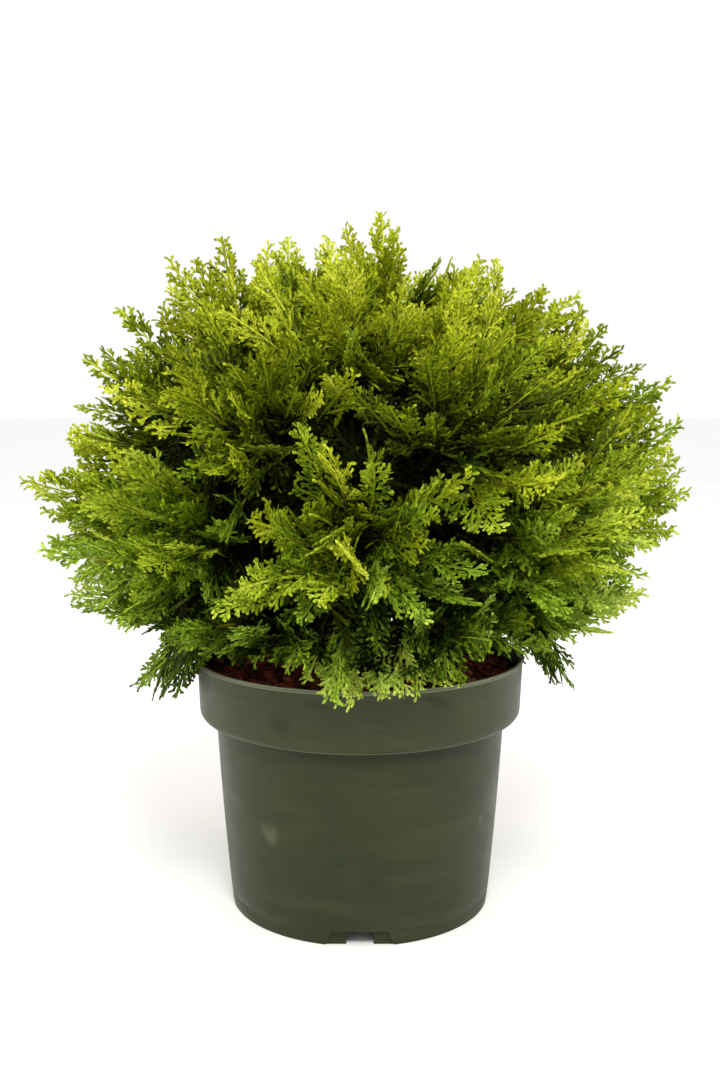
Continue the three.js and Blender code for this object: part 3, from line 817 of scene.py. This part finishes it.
# How an axis bears branches and a branch branchlets: first and last place as shares of its
# length, their size as a share of what is left of it and a bit more, angles, variation
BRANCHING = {
    "first": 0.1, "last": 0.95, "share": 0.5, "more": 3 * MM, "angles": (23, 35), "sizes": (0.72, 1.12),
}
BRANCHLETS = {
    "first": 0.2, "last": 0.93, "share": 0.4, "more": 2.6 * MM, "angles": (28, 42), "sizes": (0.75, 1.15),
}
VARIATION = (0.85, 1.15)
AXIS_BOW = 0.12
BRANCH_BOWS = (-0.1, 0.25)
BRANCHLET_BOW = 0.2
LEAST_BRANCH = 6 * MM
# Share of its full size that a branch has at the spray's foot, and how fast that grows
WIDENING = (0.6, 1.8)
THICKNESS = 0.5
LEAF_FOOT = 0.55
LEAF_ROLL = 0.35


def stalk_points(start, angle, length, bow, steps):
    """Points of a stalk that leaves start at an angle from +Y and bends by bow on its way."""
    points = [np.array(start)]
    heading = angle
    for i in range(1, len(steps)):
        step = (steps[i] - steps[i - 1]) * length
        heading = angle + bow * (steps[i] + steps[i - 1]) / 2
        points.append(points[-1] + step * np.array([math.sin(heading), math.cos(heading)]))
    return np.array(points)


TWIG_STEPS = (0, 0.76, 1)
BRANCH_STEPS = (0, 0.4, 0.86, 1)
BRANCH_WIDTHS = (0.5, 0.8, 1.0, 0.3)


def point_along(stalk, t):
    """Point of an axis or branch at a share t of its length."""
    return np.array([np.interp(t, BRANCH_STEPS, stalk[:, i]) for i in (0, 1)])


def side_shoots(stalk, heading, bow, length, rule, spacing, longest, rng):
    """What a stalk bears on alternate sides: share of its length, side, start, angle, size."""
    side = rng.choice([-1, 1])
    at = rule["first"] * length
    while at < length * rule["last"]:
        t = at / length
        angle = heading + bow * t + side * math.radians(rng.uniform(*rule["angles"]))
        size = min(rule["share"] * (length - at) + rule["more"], longest) * rng.uniform(*rule["sizes"])
        yield t, side, point_along(stalk, t), angle, size
        at += spacing * rng.uniform(*VARIATION)
        side = -side


def spray_template(length, rng, style):
    """Flat stalks of a spray: branchlets of 3 points, branches of 4."""
    axis = stalk_points((0, 0), 0, length, rng.normal(0, AXIS_BOW), BRANCH_STEPS)
    twigs, branches = [], [axis]
    shoots = side_shoots(axis, 0, 0, length, BRANCHING, style["branches"], math.inf, rng)
    for t, side, start, angle, size in shoots:
        reach = size * min(1, WIDENING[0] + WIDENING[1] * t)
        bow = -side * rng.uniform(*BRANCH_BOWS)
        if reach < LEAST_BRANCH:
            twigs.append(stalk_points(start, angle, reach, 0, TWIG_STEPS))
        else:
            branches.append(stalk_points(start, angle, reach, bow, BRANCH_STEPS))
            twigs += branchlets(branches[-1], angle, bow, reach, rng, style)
    return {
        "length": length,
        "twigs": np.array(twigs).reshape(-1, len(TWIG_STEPS), 2),
        "branches": np.array(branches),
    }


def branchlets(branch, angle, bow, reach, rng, style):
    shoots = side_shoots(branch, angle, bow, reach, BRANCHLETS, style["branchlets"], style["longest"], rng)
    return [
        stalk_points(start, heading, size, -side * BRANCHLET_BOW, TWIG_STEPS)
        for _, side, start, heading, size in shoots
    ]


def spindle_mesh(points, normals, widths, flips):
    """Closed three-sided spindles along points (n, m, 3): m - 2 rings between two ends."""
    count, steps = points.shape[:2]
    tangents = unit(points[:, 2:] - points[:, :-2])
    across = unit(np.cross(tangents, normals[:, 1:-1]))
    above = np.cross(across, tangents)
    half = (widths[:, 1:-1] / 2)[..., None]
    height = half * 2 * THICKNESS
    side = across * half
    lift = above * height * flips[:, None, None]
    centre = points[:, 1:-1]
    ring = np.stack([
        centre - side * flips[:, None, None] - lift / 3,
        centre + side * flips[:, None, None] - lift / 3,
        centre + lift * 2 / 3,
    ], axis=2)
    inner = steps - 2
    vertices = np.concatenate([ring.reshape(count, inner * 3, 3), points[:, :1], points[:, -1:]], axis=1)
    per = inner * 3 + 2
    faces = []
    root, tip = inner * 3, inner * 3 + 1
    for k in range(3):
        n = (k + 1) % 3
        faces.append([root, n, k])
        faces.append([tip, (inner - 1) * 3 + k, (inner - 1) * 3 + n])
        for row in range(inner - 1):
            a, b = row * 3 + k, row * 3 + n
            faces.append([a, b, b + 3])
            faces.append([a, b + 3, a + 3])
    faces = np.array(faces)[None] + (per * np.arange(count))[:, None, None]
    return vertices.reshape(-1, 3), faces.reshape(-1, 3)


def leaf_mesh(points, normals, widths, rolls):
    """Flat blunt lobes along points (n, 3, 3), each rolled about its length."""
    count = len(points)
    tangents = unit(points[:, 2] - points[:, 0])
    across = unit(np.cross(tangents, normals[:, 1]))
    above = np.cross(across, tangents)
    half = (across * np.cos(rolls)[:, None] + above * np.sin(rolls)[:, None]) * widths[:, None] / 2
    root, middle, tip = points[:, 0], points[:, 1], points[:, 2]
    foot = half * LEAF_FOOT
    vertices = np.stack([root - foot, root + foot, middle + half, middle - half, tip], axis=1)
    faces = np.array([[0, 1, 2], [0, 2, 3], [3, 2, 4]])[None] + (5 * np.arange(count))[:, None, None]
    return vertices.reshape(-1, 3), faces.reshape(-1, 3)


class Foliage:
    """Collects the stalks of a group of masses and makes one mesh of them."""

    def __init__(self):
        # By the count of their points: branchlets, branches, midribs
        self.stalks = {3: [], 4: [], 5: []}

    def add(self, points, normals, widths, tones):
        self.stalks[points.shape[1]].append((points, normals, widths, tones))

    def build(self, name, materials, rng):
        parts, index = [], []
        for steps, batches in self.stalks.items():
            if not batches:
                continue
            points, normals, widths, tones = (np.concatenate(part) for part in zip(*batches))
            if steps == len(TWIG_STEPS):
                part = leaf_mesh(points, normals, widths[:, 1], rng.normal(0, LEAF_ROLL, len(points)))
            else:
                part = spindle_mesh(points, normals, widths, rng.choice([-1.0, 1.0], len(points)))
            parts.append(part)
            index.append(np.repeat(tones, len(part[1]) // len(points)))
        return mesh_object(name, *joined(parts), materials, np.concatenate(index), smooth=False)


def place_spray(template, root, axis, normal, length, curl, cup, twist):
    """Points, normals and shares of the length of a spray's stalks, curled and cupped."""
    across = np.cross(axis, normal)
    scale = length / template["length"]
    placed = []
    for kind in ("twigs", "branches"):
        flat = template[kind] * scale
        x, y = flat[..., 0], flat[..., 1]
        bend = curl / length
        angle = bend * y
        safe = bend if abs(bend) > 1e-6 else 1e-6
        along = np.sin(safe * y) / safe
        lift = (1 - np.cos(safe * y)) / safe
        roll = twist * y / length
        side = x * np.cos(roll)
        rise = lift + cup * x * x / length + x * np.sin(roll)
        points = root + across * side[..., None] + axis * along[..., None] + normal * rise[..., None]
        facing = normal * np.cos(angle)[..., None] - axis * np.sin(angle)[..., None]
        facing = facing - across * (2 * cup * x / length + np.sin(roll))[..., None]
        placed.append((points, unit(facing), y / length))
    return placed


# ---- Plumes ----

TONES = 8
PALETTES = 3
# Heights of masses, from 0 for an axis 30 degrees below level to 1 for one straight up
HEIGHTS = (0, 0.4, 0.72, 0.9)
# Usual tone of a mass at those heights: painted light and shade on that part of the crown.
HEIGHT_TONES = (0.67, 0.66, 0.54, 0.71)
# Painted light and shade on low plumes: below these levels, lighter at the sides and darker in front; the
# lowest darker at the sides.
LOW_LEVELS = (200 * MM, 275 * MM)
LOW_TONES = (0.22, -0.54)
LOWEST_LEVELS = (155 * MM, 205 * MM)
LOWEST_PAINTED_SHADE = -0.6
FRONTNESS = (0.3, 0.9)
TONE_SPREAD = 0.11
LEADER_TONE = -0.05
MASSES_PER_PIECE = 4
# Painted shade: how much darker a spray is dealt, the deeper it lies inside the crown.
PAINTED_DEPTH_SHADE = 0.9
GREENER_LEVELS = (230 * MM, 355 * MM)
GREENER_SPREAD = 0.35
END_SPRAY = 48 * MM
SIDE_SPACING = 9 * MM
PLUME_DEPTH = 105 * MM
SPRAY_REACH = 1.005
SPRAY_SAG = 8 * MM
SPRAY_TRIES = 3
SHORTENED = 0.8
LEAST_SPRAY = 11 * MM
# Share of the crown's reach within which that painted depth shade begins.
DEPTH_START = 0.96
# Mean and spread of a spray's curl, cup and twist
CURL = (0.1, 0.3)
CUP = (-0.25, 0.25)
TWIST = (0, 0.3)
WIDTH_SHARES = (0.92, 1.1)
# Widths along a branchlet and along a branch, and what each adds to the tone
STALK_SHAPES = (((1, 1, 1), 0.03), (BRANCH_WIDTHS, -0.05))
TIP_TONE = 0.3
TIP_TONE_FROM = 0.6
STALK_TONE_SPREAD = 0.09
# A plume: its midrib, its end spray, and side sprays that grow with distance from the tip
MIDRIB_WIDTHS = np.array([[1.8, 1.7, 1.5, 1.3, 0.8]]) * MM
MIDRIB_START = 0.38
MIDRIB_STOPS_SHORT = 0.7
LOOK_AHEAD = 0.02
END_TONE = 0.06
SIDES_FROM = 0.6
SIDES_CLEAR_OF_ROOT = 4 * MM
SIDE_ANGLES = (21, 34)
SIDE_LEAST = 4 * MM
SIDE_GROWTH = 0.42
SIDE_MOST = 50 * MM
SIDE_SIZES = (0.82, 1.12)
SIDE_ROLL = 0.2
SIDE_TURN = 0.1
WOOD_SHARE = 0.5
WOOD_POINTS = 5
SIDE_LIFT = (-0.1, 0.3)
FACE_LIFT = (-0.8, 0.9)
LIFT_LEVELS = (-0.35, 0.05)
LIFT_SHARES = (0.5, 1.15)
WANDER = 0.17
LEAST_OUTWARD = 0.3
FAN_REACHES = (0.86, 0.99)
# Leading tips (x, z) of the outline that faces the camera, how far their sprays may pass the
# crown's surface, and how far in front of or behind the hub they stand
LEADING_TIPS = np.array([
    (-51, 471), (-100, 467), (-131, 453), (-159, 425), (-190, 386), (-196, 354), (-206, 338), (-234, 307),
    (20, 483), (80, 455), (110, 453), (133, 428), (154, 421), (168, 410), (179, 397), (196, 384),
    (215, 372), (207, 357), (222, 344), (231, 297), (150, 432), (192, 368), (220, 310), (226, 282),
]) * MM
LEADING_REACH = 1.03
LEADING_DEPTH = 14 * MM
SKIRT_FANS = 17
SKIRT_SPREAD = math.radians(30)
SKIRT_ROOT_RADII = (106 * MM, 120 * MM)
SKIRT_ROOT_LEVELS = (214 * MM, 228 * MM)
SKIRT_TIP_RADII = (131 * MM, 147 * MM)
SKIRT_FURTHER_AT_SIDES = 8 * MM
SKIRT_LENGTH = 64 * MM
SKIRT_WANDER = 6 * MM
SKIRT_TURN_WANDER = 0.03
SKIRT_SAGS = (-0.5, 1.2)
SKIRT_UP_FACING = 0.5
SKIRT_FACING_WANDER = 0.2
SKIRT_SIDE = 0.5
SKIRT_SHARE_AT_SIDES = 0.6
# How far a hanging fan turns aside, and its tone there: lighter towards front and back as painted light,
# darker at the sides as painted shade.
SKIRT_ASIDE = (0.2, 0.6)
SKIRT_TONES = (0.9, 0.34)
SKIRT_TONE_SPREAD = 0.08
SKIRT_FRONT = math.radians(-85)
SKIRT_FRONT_HALF = math.radians(15)
SKIRT_FRONT_LEVEL = 172 * MM
SKIRT_REACH = 1.08
SKIRT_SAG = 16 * MM
# Shoots that even the crown out where its tips stand furthest apart
EVENING_SHOOTS = 107
EVENING_DIRECTIONS = 1500
EVENING_LOWEST = -0.5
EVENING_REACHES = (0.88, 0.98)
# Open place (x, z, radius) at the lower left, between the low fans and those above them
OPENING = np.array([-160, 199, 23]) * MM
# How far plumes face away from the hub, and how much that wanders; to the front, and up
FACING = (0.6, 0.38)
LEADING_FACING = (0.0, 0.12)
FRONT_FACING = 0.6
UP_FACING = 0.3
FILL_STEEPNESS = (-0.4, 0.8)
FILL_SPRAYS = (72, 36)
FILL_SPREAD = 0.4
FILL_TILT = 0.3
# Dark tone of the inside sprays: painted shade of the crown's inside.
FILL_PAINTED_SHADE = 0.3
FILL_LENGTH = 58 * MM
FILL_LEVEL = 205 * MM
FILL_LEVEL_INSIDE = 186 * MM
FILL_DISTANCES = (70 * MM, 150 * MM)


class Grower:
    """Grows the plumes of the crown from the shoots by one seeded rule."""

    def __init__(self, rng):
        self.rng = rng
        self.wood = []
        self.templates = {
            name: [
                [spray_template(length * MM, rng, style) for _ in range(SPRAY_VARIANTS)]
                for length in SPRAY_LENGTHS
            ]
            for name, style in STYLES.items()
        }

    def start(self, foliage, cell):
        """Turns to the next mass: its stem comes first, and its random draws are its own."""
        self.foliage = foliage
        self.cell = cell
        self.rng = np.random.default_rng(cell["seed"])
        stem_end = cell["limb_tip"] + STEM_LENGTH * cell["axis"]
        self.wood.append(np.linspace(cell["limb_tip"], stem_end, WOOD_POINTS))

    def spray(self, root, axis, normal, length, tone, palette, coarse=False,
              reach=SPRAY_REACH, sag=SPRAY_SAG):
        """Adds one spray if it keeps to the mass's space; shortens it first where that helps."""
        rng = self.rng
        hanging = sag * UP if axis[2] < 0 else 0 * UP
        for _ in range(SPRAY_TRIES):
            tip = root + axis * length
            if coarse or is_free(tip + hanging, self.cell, -CELL_SPILL, reach):
                break
            length *= SHORTENED
        else:
            return
        if length < LEAST_SPRAY or (not coarse and root[2] < hang_height(root) - SPRAY_SAG):
            return
        if math.hypot(tip[0] - OPENING[0], tip[2] - OPENING[1]) < OPENING[2]:
            return
        offset = tip - HUB
        distance = np.linalg.norm(offset)
        # Painted shade for sprays deep inside the crown.
        tone -= PAINTED_DEPTH_SHADE * max(0, DEPTH_START - distance / crown_reach(offset / distance))
        style = "coarse" if coarse else "open" if tip[2] < OPEN_LEVEL else "fine"
        nearest = int(np.argmin(abs(np.array(SPRAY_LENGTHS) * MM - length)))
        template = self.templates[style][nearest][rng.integers(SPRAY_VARIANTS)]
        curl, cup, twist = [rng.normal(*spread) for spread in (CURL, CUP, TWIST)]
        width = TWIG_WIDTH * STYLES[style]["width"] * rng.uniform(*WIDTH_SHARES)
        parts = place_spray(template, root, axis, normal, length, curl, cup, twist)
        for (points, normals, along), (shape, step) in zip(parts, STALK_SHAPES):
            widths = width * np.array(shape) * np.ones((len(points), 1))
            shade = tone + step + TIP_TONE * (along[:, -1] - TIP_TONE_FROM)
            shade = shade + rng.normal(0, STALK_TONE_SPREAD, len(points))
            self.foliage.add(points, normals, widths, self.tone_index(shade, palette))

    def tone_index(self, shade, palette):
        """Material index of each tone from 0, deep shade, to 1, fresh tips."""
        return np.clip(shade * TONES, 0, TONES - 1).astype(int) + palette * TONES

    def palette_at(self, level):
        """From 0, yellow green, which is usual in high plumes, to 2, pure green, in low ones."""
        greener = np.interp(level, GREENER_LEVELS, (2, 0)) + self.rng.normal(0, GREENER_SPREAD)
        return int(np.clip(round(greener), 0, PALETTES - 1))

    def plume(self, root, tip, tone, leading=False):
        """A flat feather of sprays on the outer part of a shoot, which turns up or droops."""
        rng = self.rng
        reach = LEADING_REACH if leading else SPRAY_REACH
        length = np.linalg.norm(tip - root)
        radial = unit(tip - HUB)
        lift = np.interp(radial[2], LIFT_LEVELS, SIDE_LIFT)
        face_lift = np.interp(radial[2], LIFT_LEVELS, FACE_LIFT)
        lift += abs(radial[1]) * face_lift * rng.uniform(*LIFT_SHARES)
        heading = unit((tip - root) / length + UP * lift + rng.normal(0, WANDER, 3))
        heading = unit(heading + max(0, LEAST_OUTWARD - heading @ radial) * radial)
        bend = tip - heading * length * 0.5
        bend[2] = max(bend[2], hang_height(bend) + HANG_MARGIN)
        self.wood.append(bezier(root, bend, tip, np.linspace(0, WOOD_SHARE, WOOD_POINTS)))
        end = END_SPRAY * rng.uniform(*VARIATION)
        stop = 1 - MIDRIB_STOPS_SHORT * end / length
        midrib = bezier(root, bend, tip, np.linspace(MIDRIB_START, stop, MIDRIB_WIDTHS.size))[None]
        outward = unit(np.array([radial[0], radial[1], 0.0]))
        front = np.array([0.0, math.copysign(1.0, radial[1]), 0.0])
        turned_out, wander = LEADING_FACING if leading else FACING
        facing = turned_out * outward + FRONT_FACING * front + UP_FACING * UP
        facing = facing + rng.normal(0, wander, 3)
        palette = self.palette_at(tip[2])
        if all(over_pot(point, POT_CLEARANCE) and point[2] > hang_height(point) for point in midrib[0]):
            normals = np.broadcast_to(facing, midrib.shape)
            self.foliage.add(midrib, normals, MIDRIB_WIDTHS, np.array([PALETTES * TONES]))

        def at(distance_from_tip, turn=0.0):
            t = 1 - distance_from_tip / length
            here = bezier(root, bend, tip, t)
            ahead = unit(bezier(root, bend, tip, t + LOOK_AHEAD) - here)
            flat = unit(facing - ahead * np.dot(facing, ahead))
            return here, ahead, turned(flat, ahead, turn)

        self.spray(*at(end), end, tone + END_TONE, palette, reach=reach)
        distance = end * SIDES_FROM
        side = rng.choice([-1, 1])
        turn = 0.0
        while distance < min(length - SIDES_CLEAR_OF_ROOT, PLUME_DEPTH):
            place, forward, flat = at(distance, turn)
            angle = side * math.radians(rng.uniform(*SIDE_ANGLES))
            outward = turned(forward, flat, angle)
            flat = turned(flat, outward, rng.normal(0, SIDE_ROLL))
            size = min(SIDE_LEAST + SIDE_GROWTH * distance, SIDE_MOST) * rng.uniform(*SIDE_SIZES)
            self.spray(place, outward, flat, size, tone, palette, reach=reach)
            distance += SIDE_SPACING * rng.uniform(*VARIATION)
            turn += rng.normal(0, SIDE_TURN)
            side = -side

    def skirt(self):
        """Broad open fans that hang from under a low mass, over the container's rim."""
        rng = self.rng
        azimuth = math.atan2(self.cell["axis"][1], self.cell["axis"][0])
        for offset in np.linspace(-SKIRT_SPREAD, SKIRT_SPREAD, SKIRT_FANS):
            turn = azimuth + offset + rng.normal(0, SKIRT_TURN_WANDER)
            outward = np.array([math.cos(turn), math.sin(turn), 0.0])
            root = rng.uniform(*SKIRT_ROOT_RADII) * outward + rng.uniform(*SKIRT_ROOT_LEVELS) * UP
            aside = abs(outward[0])
            tip = (rng.uniform(*SKIRT_TIP_RADII) + SKIRT_FURTHER_AT_SIDES * aside) * outward
            tip[2] = hang_height(tip) + rng.uniform(*SKIRT_SAGS) * SPRAY_SAG
            if abs(math.remainder(turn - SKIRT_FRONT, math.pi)) < SKIRT_FRONT_HALF:
                tip[2] = SKIRT_FRONT_LEVEL + rng.uniform(0, SPRAY_SAG)
            along = tip - root + rng.normal(0, SKIRT_WANDER, 3)
            length = min(np.linalg.norm(along), SKIRT_LENGTH)
            axis = unit(along)
            root = tip - length * axis
            facing = outward + SKIRT_UP_FACING * UP + rng.normal(0, SKIRT_FACING_WANDER, 3)
            flat = unit(facing - axis * np.dot(facing, axis))
            tone = np.interp(aside, SKIRT_ASIDE, SKIRT_TONES) + rng.normal(0, SKIRT_TONE_SPREAD)
            if aside < SKIRT_SIDE or rng.uniform() < SKIRT_SHARE_AT_SIDES:
                self.spray(root, axis, flat, length, tone, PALETTES - 1, reach=SKIRT_REACH, sag=SKIRT_SAG)

    def fill(self):
        """Coarse sprays that lie across the inside of a mass, round its bough and stem, coloured dark as
        painted shade.
        """
        rng = self.rng
        centre = self.cell["axis"]
        count = round(np.interp(centre[2], FILL_STEEPNESS, FILL_SPRAYS))
        for distance in np.linspace(*FILL_DISTANCES, count):
            aside = unit(centre + FILL_SPREAD * rng.normal(0, 1, 3))
            heading = square_to(aside, rng.uniform(0, 2 * math.pi))
            root = HUB + distance * aside - heading * FILL_LENGTH / 2
            flat = unit(aside + FILL_TILT * rng.normal(0, 1, 3))
            tip = root + FILL_LENGTH * heading
            inside = max(math.hypot(*root[:2]), math.hypot(*tip[:2])) < RIM_RADIUS
            if min(root[2], tip[2]) > (FILL_LEVEL_INSIDE if inside else FILL_LEVEL):
                self.spray(root, heading, flat, FILL_LENGTH, FILL_PAINTED_SHADE, 0, coarse=True)


def shoots_of(cell, rng):
    """Roots and tips of a mass's shoots: those of the CAD, and further ones between them."""
    random = seeded_random(cell["seed"])
    shoots = grow_shoots(cell, random, WHORLS)
    tips = [(shoot["root"], fan_tip(cell, random, shoot)) for shoot in shoots]
    tips = [(root, HUB + (tip - HUB) * rng.uniform(*FAN_REACHES)) for root, tip in tips]
    further = grow_shoots(cell, random, FURTHER_WHORLS)
    return tips + [(s["root"], s["tip"]) for s in further if is_free(s["tip"], cell, -FURTHER_SPILL)]


def root_on_stem(cell, rng):
    return HUB + cell["axis"] * rng.uniform(SHOOT_ROOT_NEAREST, SHOOT_ROOT_FURTHEST)


def even_out(cells, shoots, rng):
    """Adds shoots, one after another, where the tips on the crown's surface stand furthest apart."""
    heights = np.linspace(EVENING_LOWEST, 1, EVENING_DIRECTIONS)
    turns = math.pi * (3 - math.sqrt(5)) * np.arange(EVENING_DIRECTIONS)
    across = np.sqrt(1 - heights**2)
    directions = np.stack([across * np.cos(turns), across * np.sin(turns), heights], axis=1)
    headings = [unit(tip - HUB) for tips in shoots for _, tip in tips
                if np.linalg.norm(tip - HUB) > EVENING_REACHES[0] * crown_reach(unit(tip - HUB))]
    nearest = (directions @ np.array(headings).T).max(axis=1)
    added = 0
    while added < EVENING_SHOOTS:
        lonely = int(np.argmin(nearest))
        direction = directions[lonely]
        nearest = np.maximum(nearest, directions @ direction)
        tip = HUB + rng.uniform(*EVENING_REACHES) * crown_reach(direction) * direction
        owner = owner_of(cells, direction)
        if is_free(tip, cells[owner], -CELL_SPILL):
            shoots[owner].append((root_on_stem(cells[owner], rng), tip))
            added += 1


def owner_of(cells, direction):
    """Number of the mass whose space lies in that direction."""
    return max(range(len(cells)), key=lambda i: cells[i]["axis"] @ direction)


def shoot_tone(usual_tone, tip, rng):
    """Painted light and shade on low plumes: lighter at the sides and darker in front, the lowest dark at
    the sides.
    """
    in_front = abs(unit(tip - HUB)[1])
    tone = usual_tone + rng.normal(0, TONE_SPREAD)
    tone += np.interp(tip[2], LOW_LEVELS, (1, 0)) * np.interp(in_front, FRONTNESS, LOW_TONES)
    return tone + np.interp(tip[2], LOWEST_LEVELS, (LOWEST_PAINTED_SHADE, 0)) * (1 - in_front)


def make_foliage(cells, rng, leaf_materials):
    """Every mass's plumes, in pieces of a few masses each, and the paths of their twigs."""
    grower = Grower(rng)
    shoots = [shoots_of(cell, rng) for cell in cells]
    even_out(cells, shoots, rng)
    leading = [[] for _ in cells]
    for x, z in LEADING_TIPS:
        tip = np.array([x, rng.uniform(-LEADING_DEPTH, LEADING_DEPTH), z])
        owner = owner_of(cells, unit(tip - HUB))
        leading[owner].append((root_on_stem(cells[owner], rng), tip))
    pieces = []
    for number, first in enumerate(range(0, len(cells), MASSES_PER_PIECE)):
        foliage = Foliage()
        group = cells[first:first + MASSES_PER_PIECE]
        for cell, tips, leaders in zip(group, shoots[first:], leading[first:]):
            grower.start(foliage, cell)
            height = (cell["axis"][2] + 0.5) / 1.5
            usual_tone = np.interp(height, HEIGHTS, HEIGHT_TONES)
            for root, tip in tips:
                grower.plume(root, tip, shoot_tone(usual_tone, tip, rng))
            for root, tip in leaders:
                grower.plume(root, tip, usual_tone + LEADER_TONE, leading=True)
            if cell["ring"] == "low":
                grower.skirt()
            grower.fill()
        piece = foliage.build(f"foliage_{number + 1}", leaf_materials, grower.rng)
        pieces.append((piece, [f"foliage_{cell['name']}" for cell in group]))
    return pieces, grower.wood


def make_twigs(wood):
    """Slim woody shoots inside the crown, as one mesh."""
    paths = np.array(wood)
    tangents = np.gradient(paths, axis=1)
    normals = unit(np.cross(tangents, UP))
    widths = np.ones((len(paths), 1)) * np.linspace(2.3, 0.9, WOOD_POINTS) * MM
    vertices, faces = spindle_mesh(paths, normals, widths, np.ones(len(paths)))
    bark = bark_material("twig_bark", srgb(22, 16, 8), srgb(44, 32, 18), srgb(70, 50, 30))
    return mesh_object("twigs", vertices, faces, [bark])


def make_leaf_materials():
    # Three palettes, yellow green to pure green, of eight tones from dark to light; the tone dealt to a
    # spray is partly painted light and shade, partly its own variation.
    greens = (
        (19, 24, 4), (38, 47, 6), (60, 74, 8), (87, 103, 11),
        (115, 131, 15), (143, 156, 21), (164, 174, 31), (181, 189, 50),
        (18, 24, 4), (36, 46, 7), (57, 73, 9), (83, 102, 13),
        (108, 129, 18), (133, 153, 27), (154, 172, 38), (172, 186, 56),
        (17, 23, 4), (34, 45, 7), (54, 71, 10), (79, 101, 15),
        (101, 127, 24), (123, 150, 36), (144, 169, 50), (164, 184, 68),
    )
    materials = [
        leaf_material(f"leaf_green_{i + 1}", srgb(*colour), 0.02 + 0.016 * (i % TONES))
        for i, colour in enumerate(greens)
    ]
    return materials + [leaf_material("young_wood", srgb(112, 110, 24), 0.1)]


# ---- Stage ----


def make_camera():
    data = bpy.data.cameras.new("camera")
    data.sensor_width = SENSOR
    data.lens = SENSOR * FOCAL_PX / IMAGE_HEIGHT_PX
    camera = linked("camera", data)
    camera.location = CAMERA_PLACE
    camera.rotation_euler = (math.radians(90 - CAMERA_PITCH), 0, 0)
    bpy.context.scene.camera = camera


def make_floor():
    n = Nodes("pale_floor")
    n.colour(n.ramp(n.noise(3, detail=2), (0.3, srgb(246, 246, 246)), (0.7, srgb(249, 249, 249))))
    n.shader.inputs["Roughness"].default_value = 0.7
    reach = 12.0
    corners = [[-reach, -reach, 0], [reach, -reach, 0], [reach, reach, 0], [-reach, reach, 0]]
    floor = mesh_object("floor", corners, [[0, 1, 2, 3]], [n.material], smooth=False)


WARM = (1.0, 0.84, 0.64)


def area_light(name, place, target, size, power, colour):
    data = bpy.data.lights.new(name, "AREA")
    data.color = colour
    data.shape = "DISK"
    data.size = size
    data.energy = power
    light = linked(name, data)
    light.location = place
    light.rotation_euler = (Vector(target) - Vector(place)).to_track_quat("-Z", "Y").to_euler()


def make_lights():
    world = bpy.data.worlds.new("studio")
    world.use_nodes = True
    background = world.node_tree.nodes["Background"]
    background.inputs["Color"].default_value = (1, 1, 1, 1)
    background.inputs["Strength"].default_value = 1.0
    bpy.context.scene.world = world
    area_light("key", (0.15, -1.7, 1.95), (0, 0, 0.32), 0.8, 44, (1, 1, 0.96))
    area_light("left", (-1.7, -0.1, 0.5), (0, 0, 0.15), 0.9, 13, WARM)
    area_light("right", (1.7, -0.1, 0.6), (0, 0, 0.15), 0.9, 9.5, WARM)


def main():
    rng = np.random.default_rng(SEED)
    bpy.context.scene.view_settings.view_transform = "Standard"
    make_camera()
    make_floor()
    make_lights()
    cells = make_cells()
    pot = make_pot()
    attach(pot, "root")
    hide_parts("pot")
    mulch = make_mulch(rng)
    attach(mulch, "root")
    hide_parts("soil")
    limbs, limb_nodes = make_limbs(cells, rng)
    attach(limbs, "root")
    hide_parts(*limb_nodes)
    pieces, wood = make_foliage(cells, rng, make_leaf_materials())
    for piece, nodes in pieces:
        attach(piece, "root")
        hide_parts(*nodes)
    twigs = make_twigs(wood)
    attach(twigs, "root")


main()
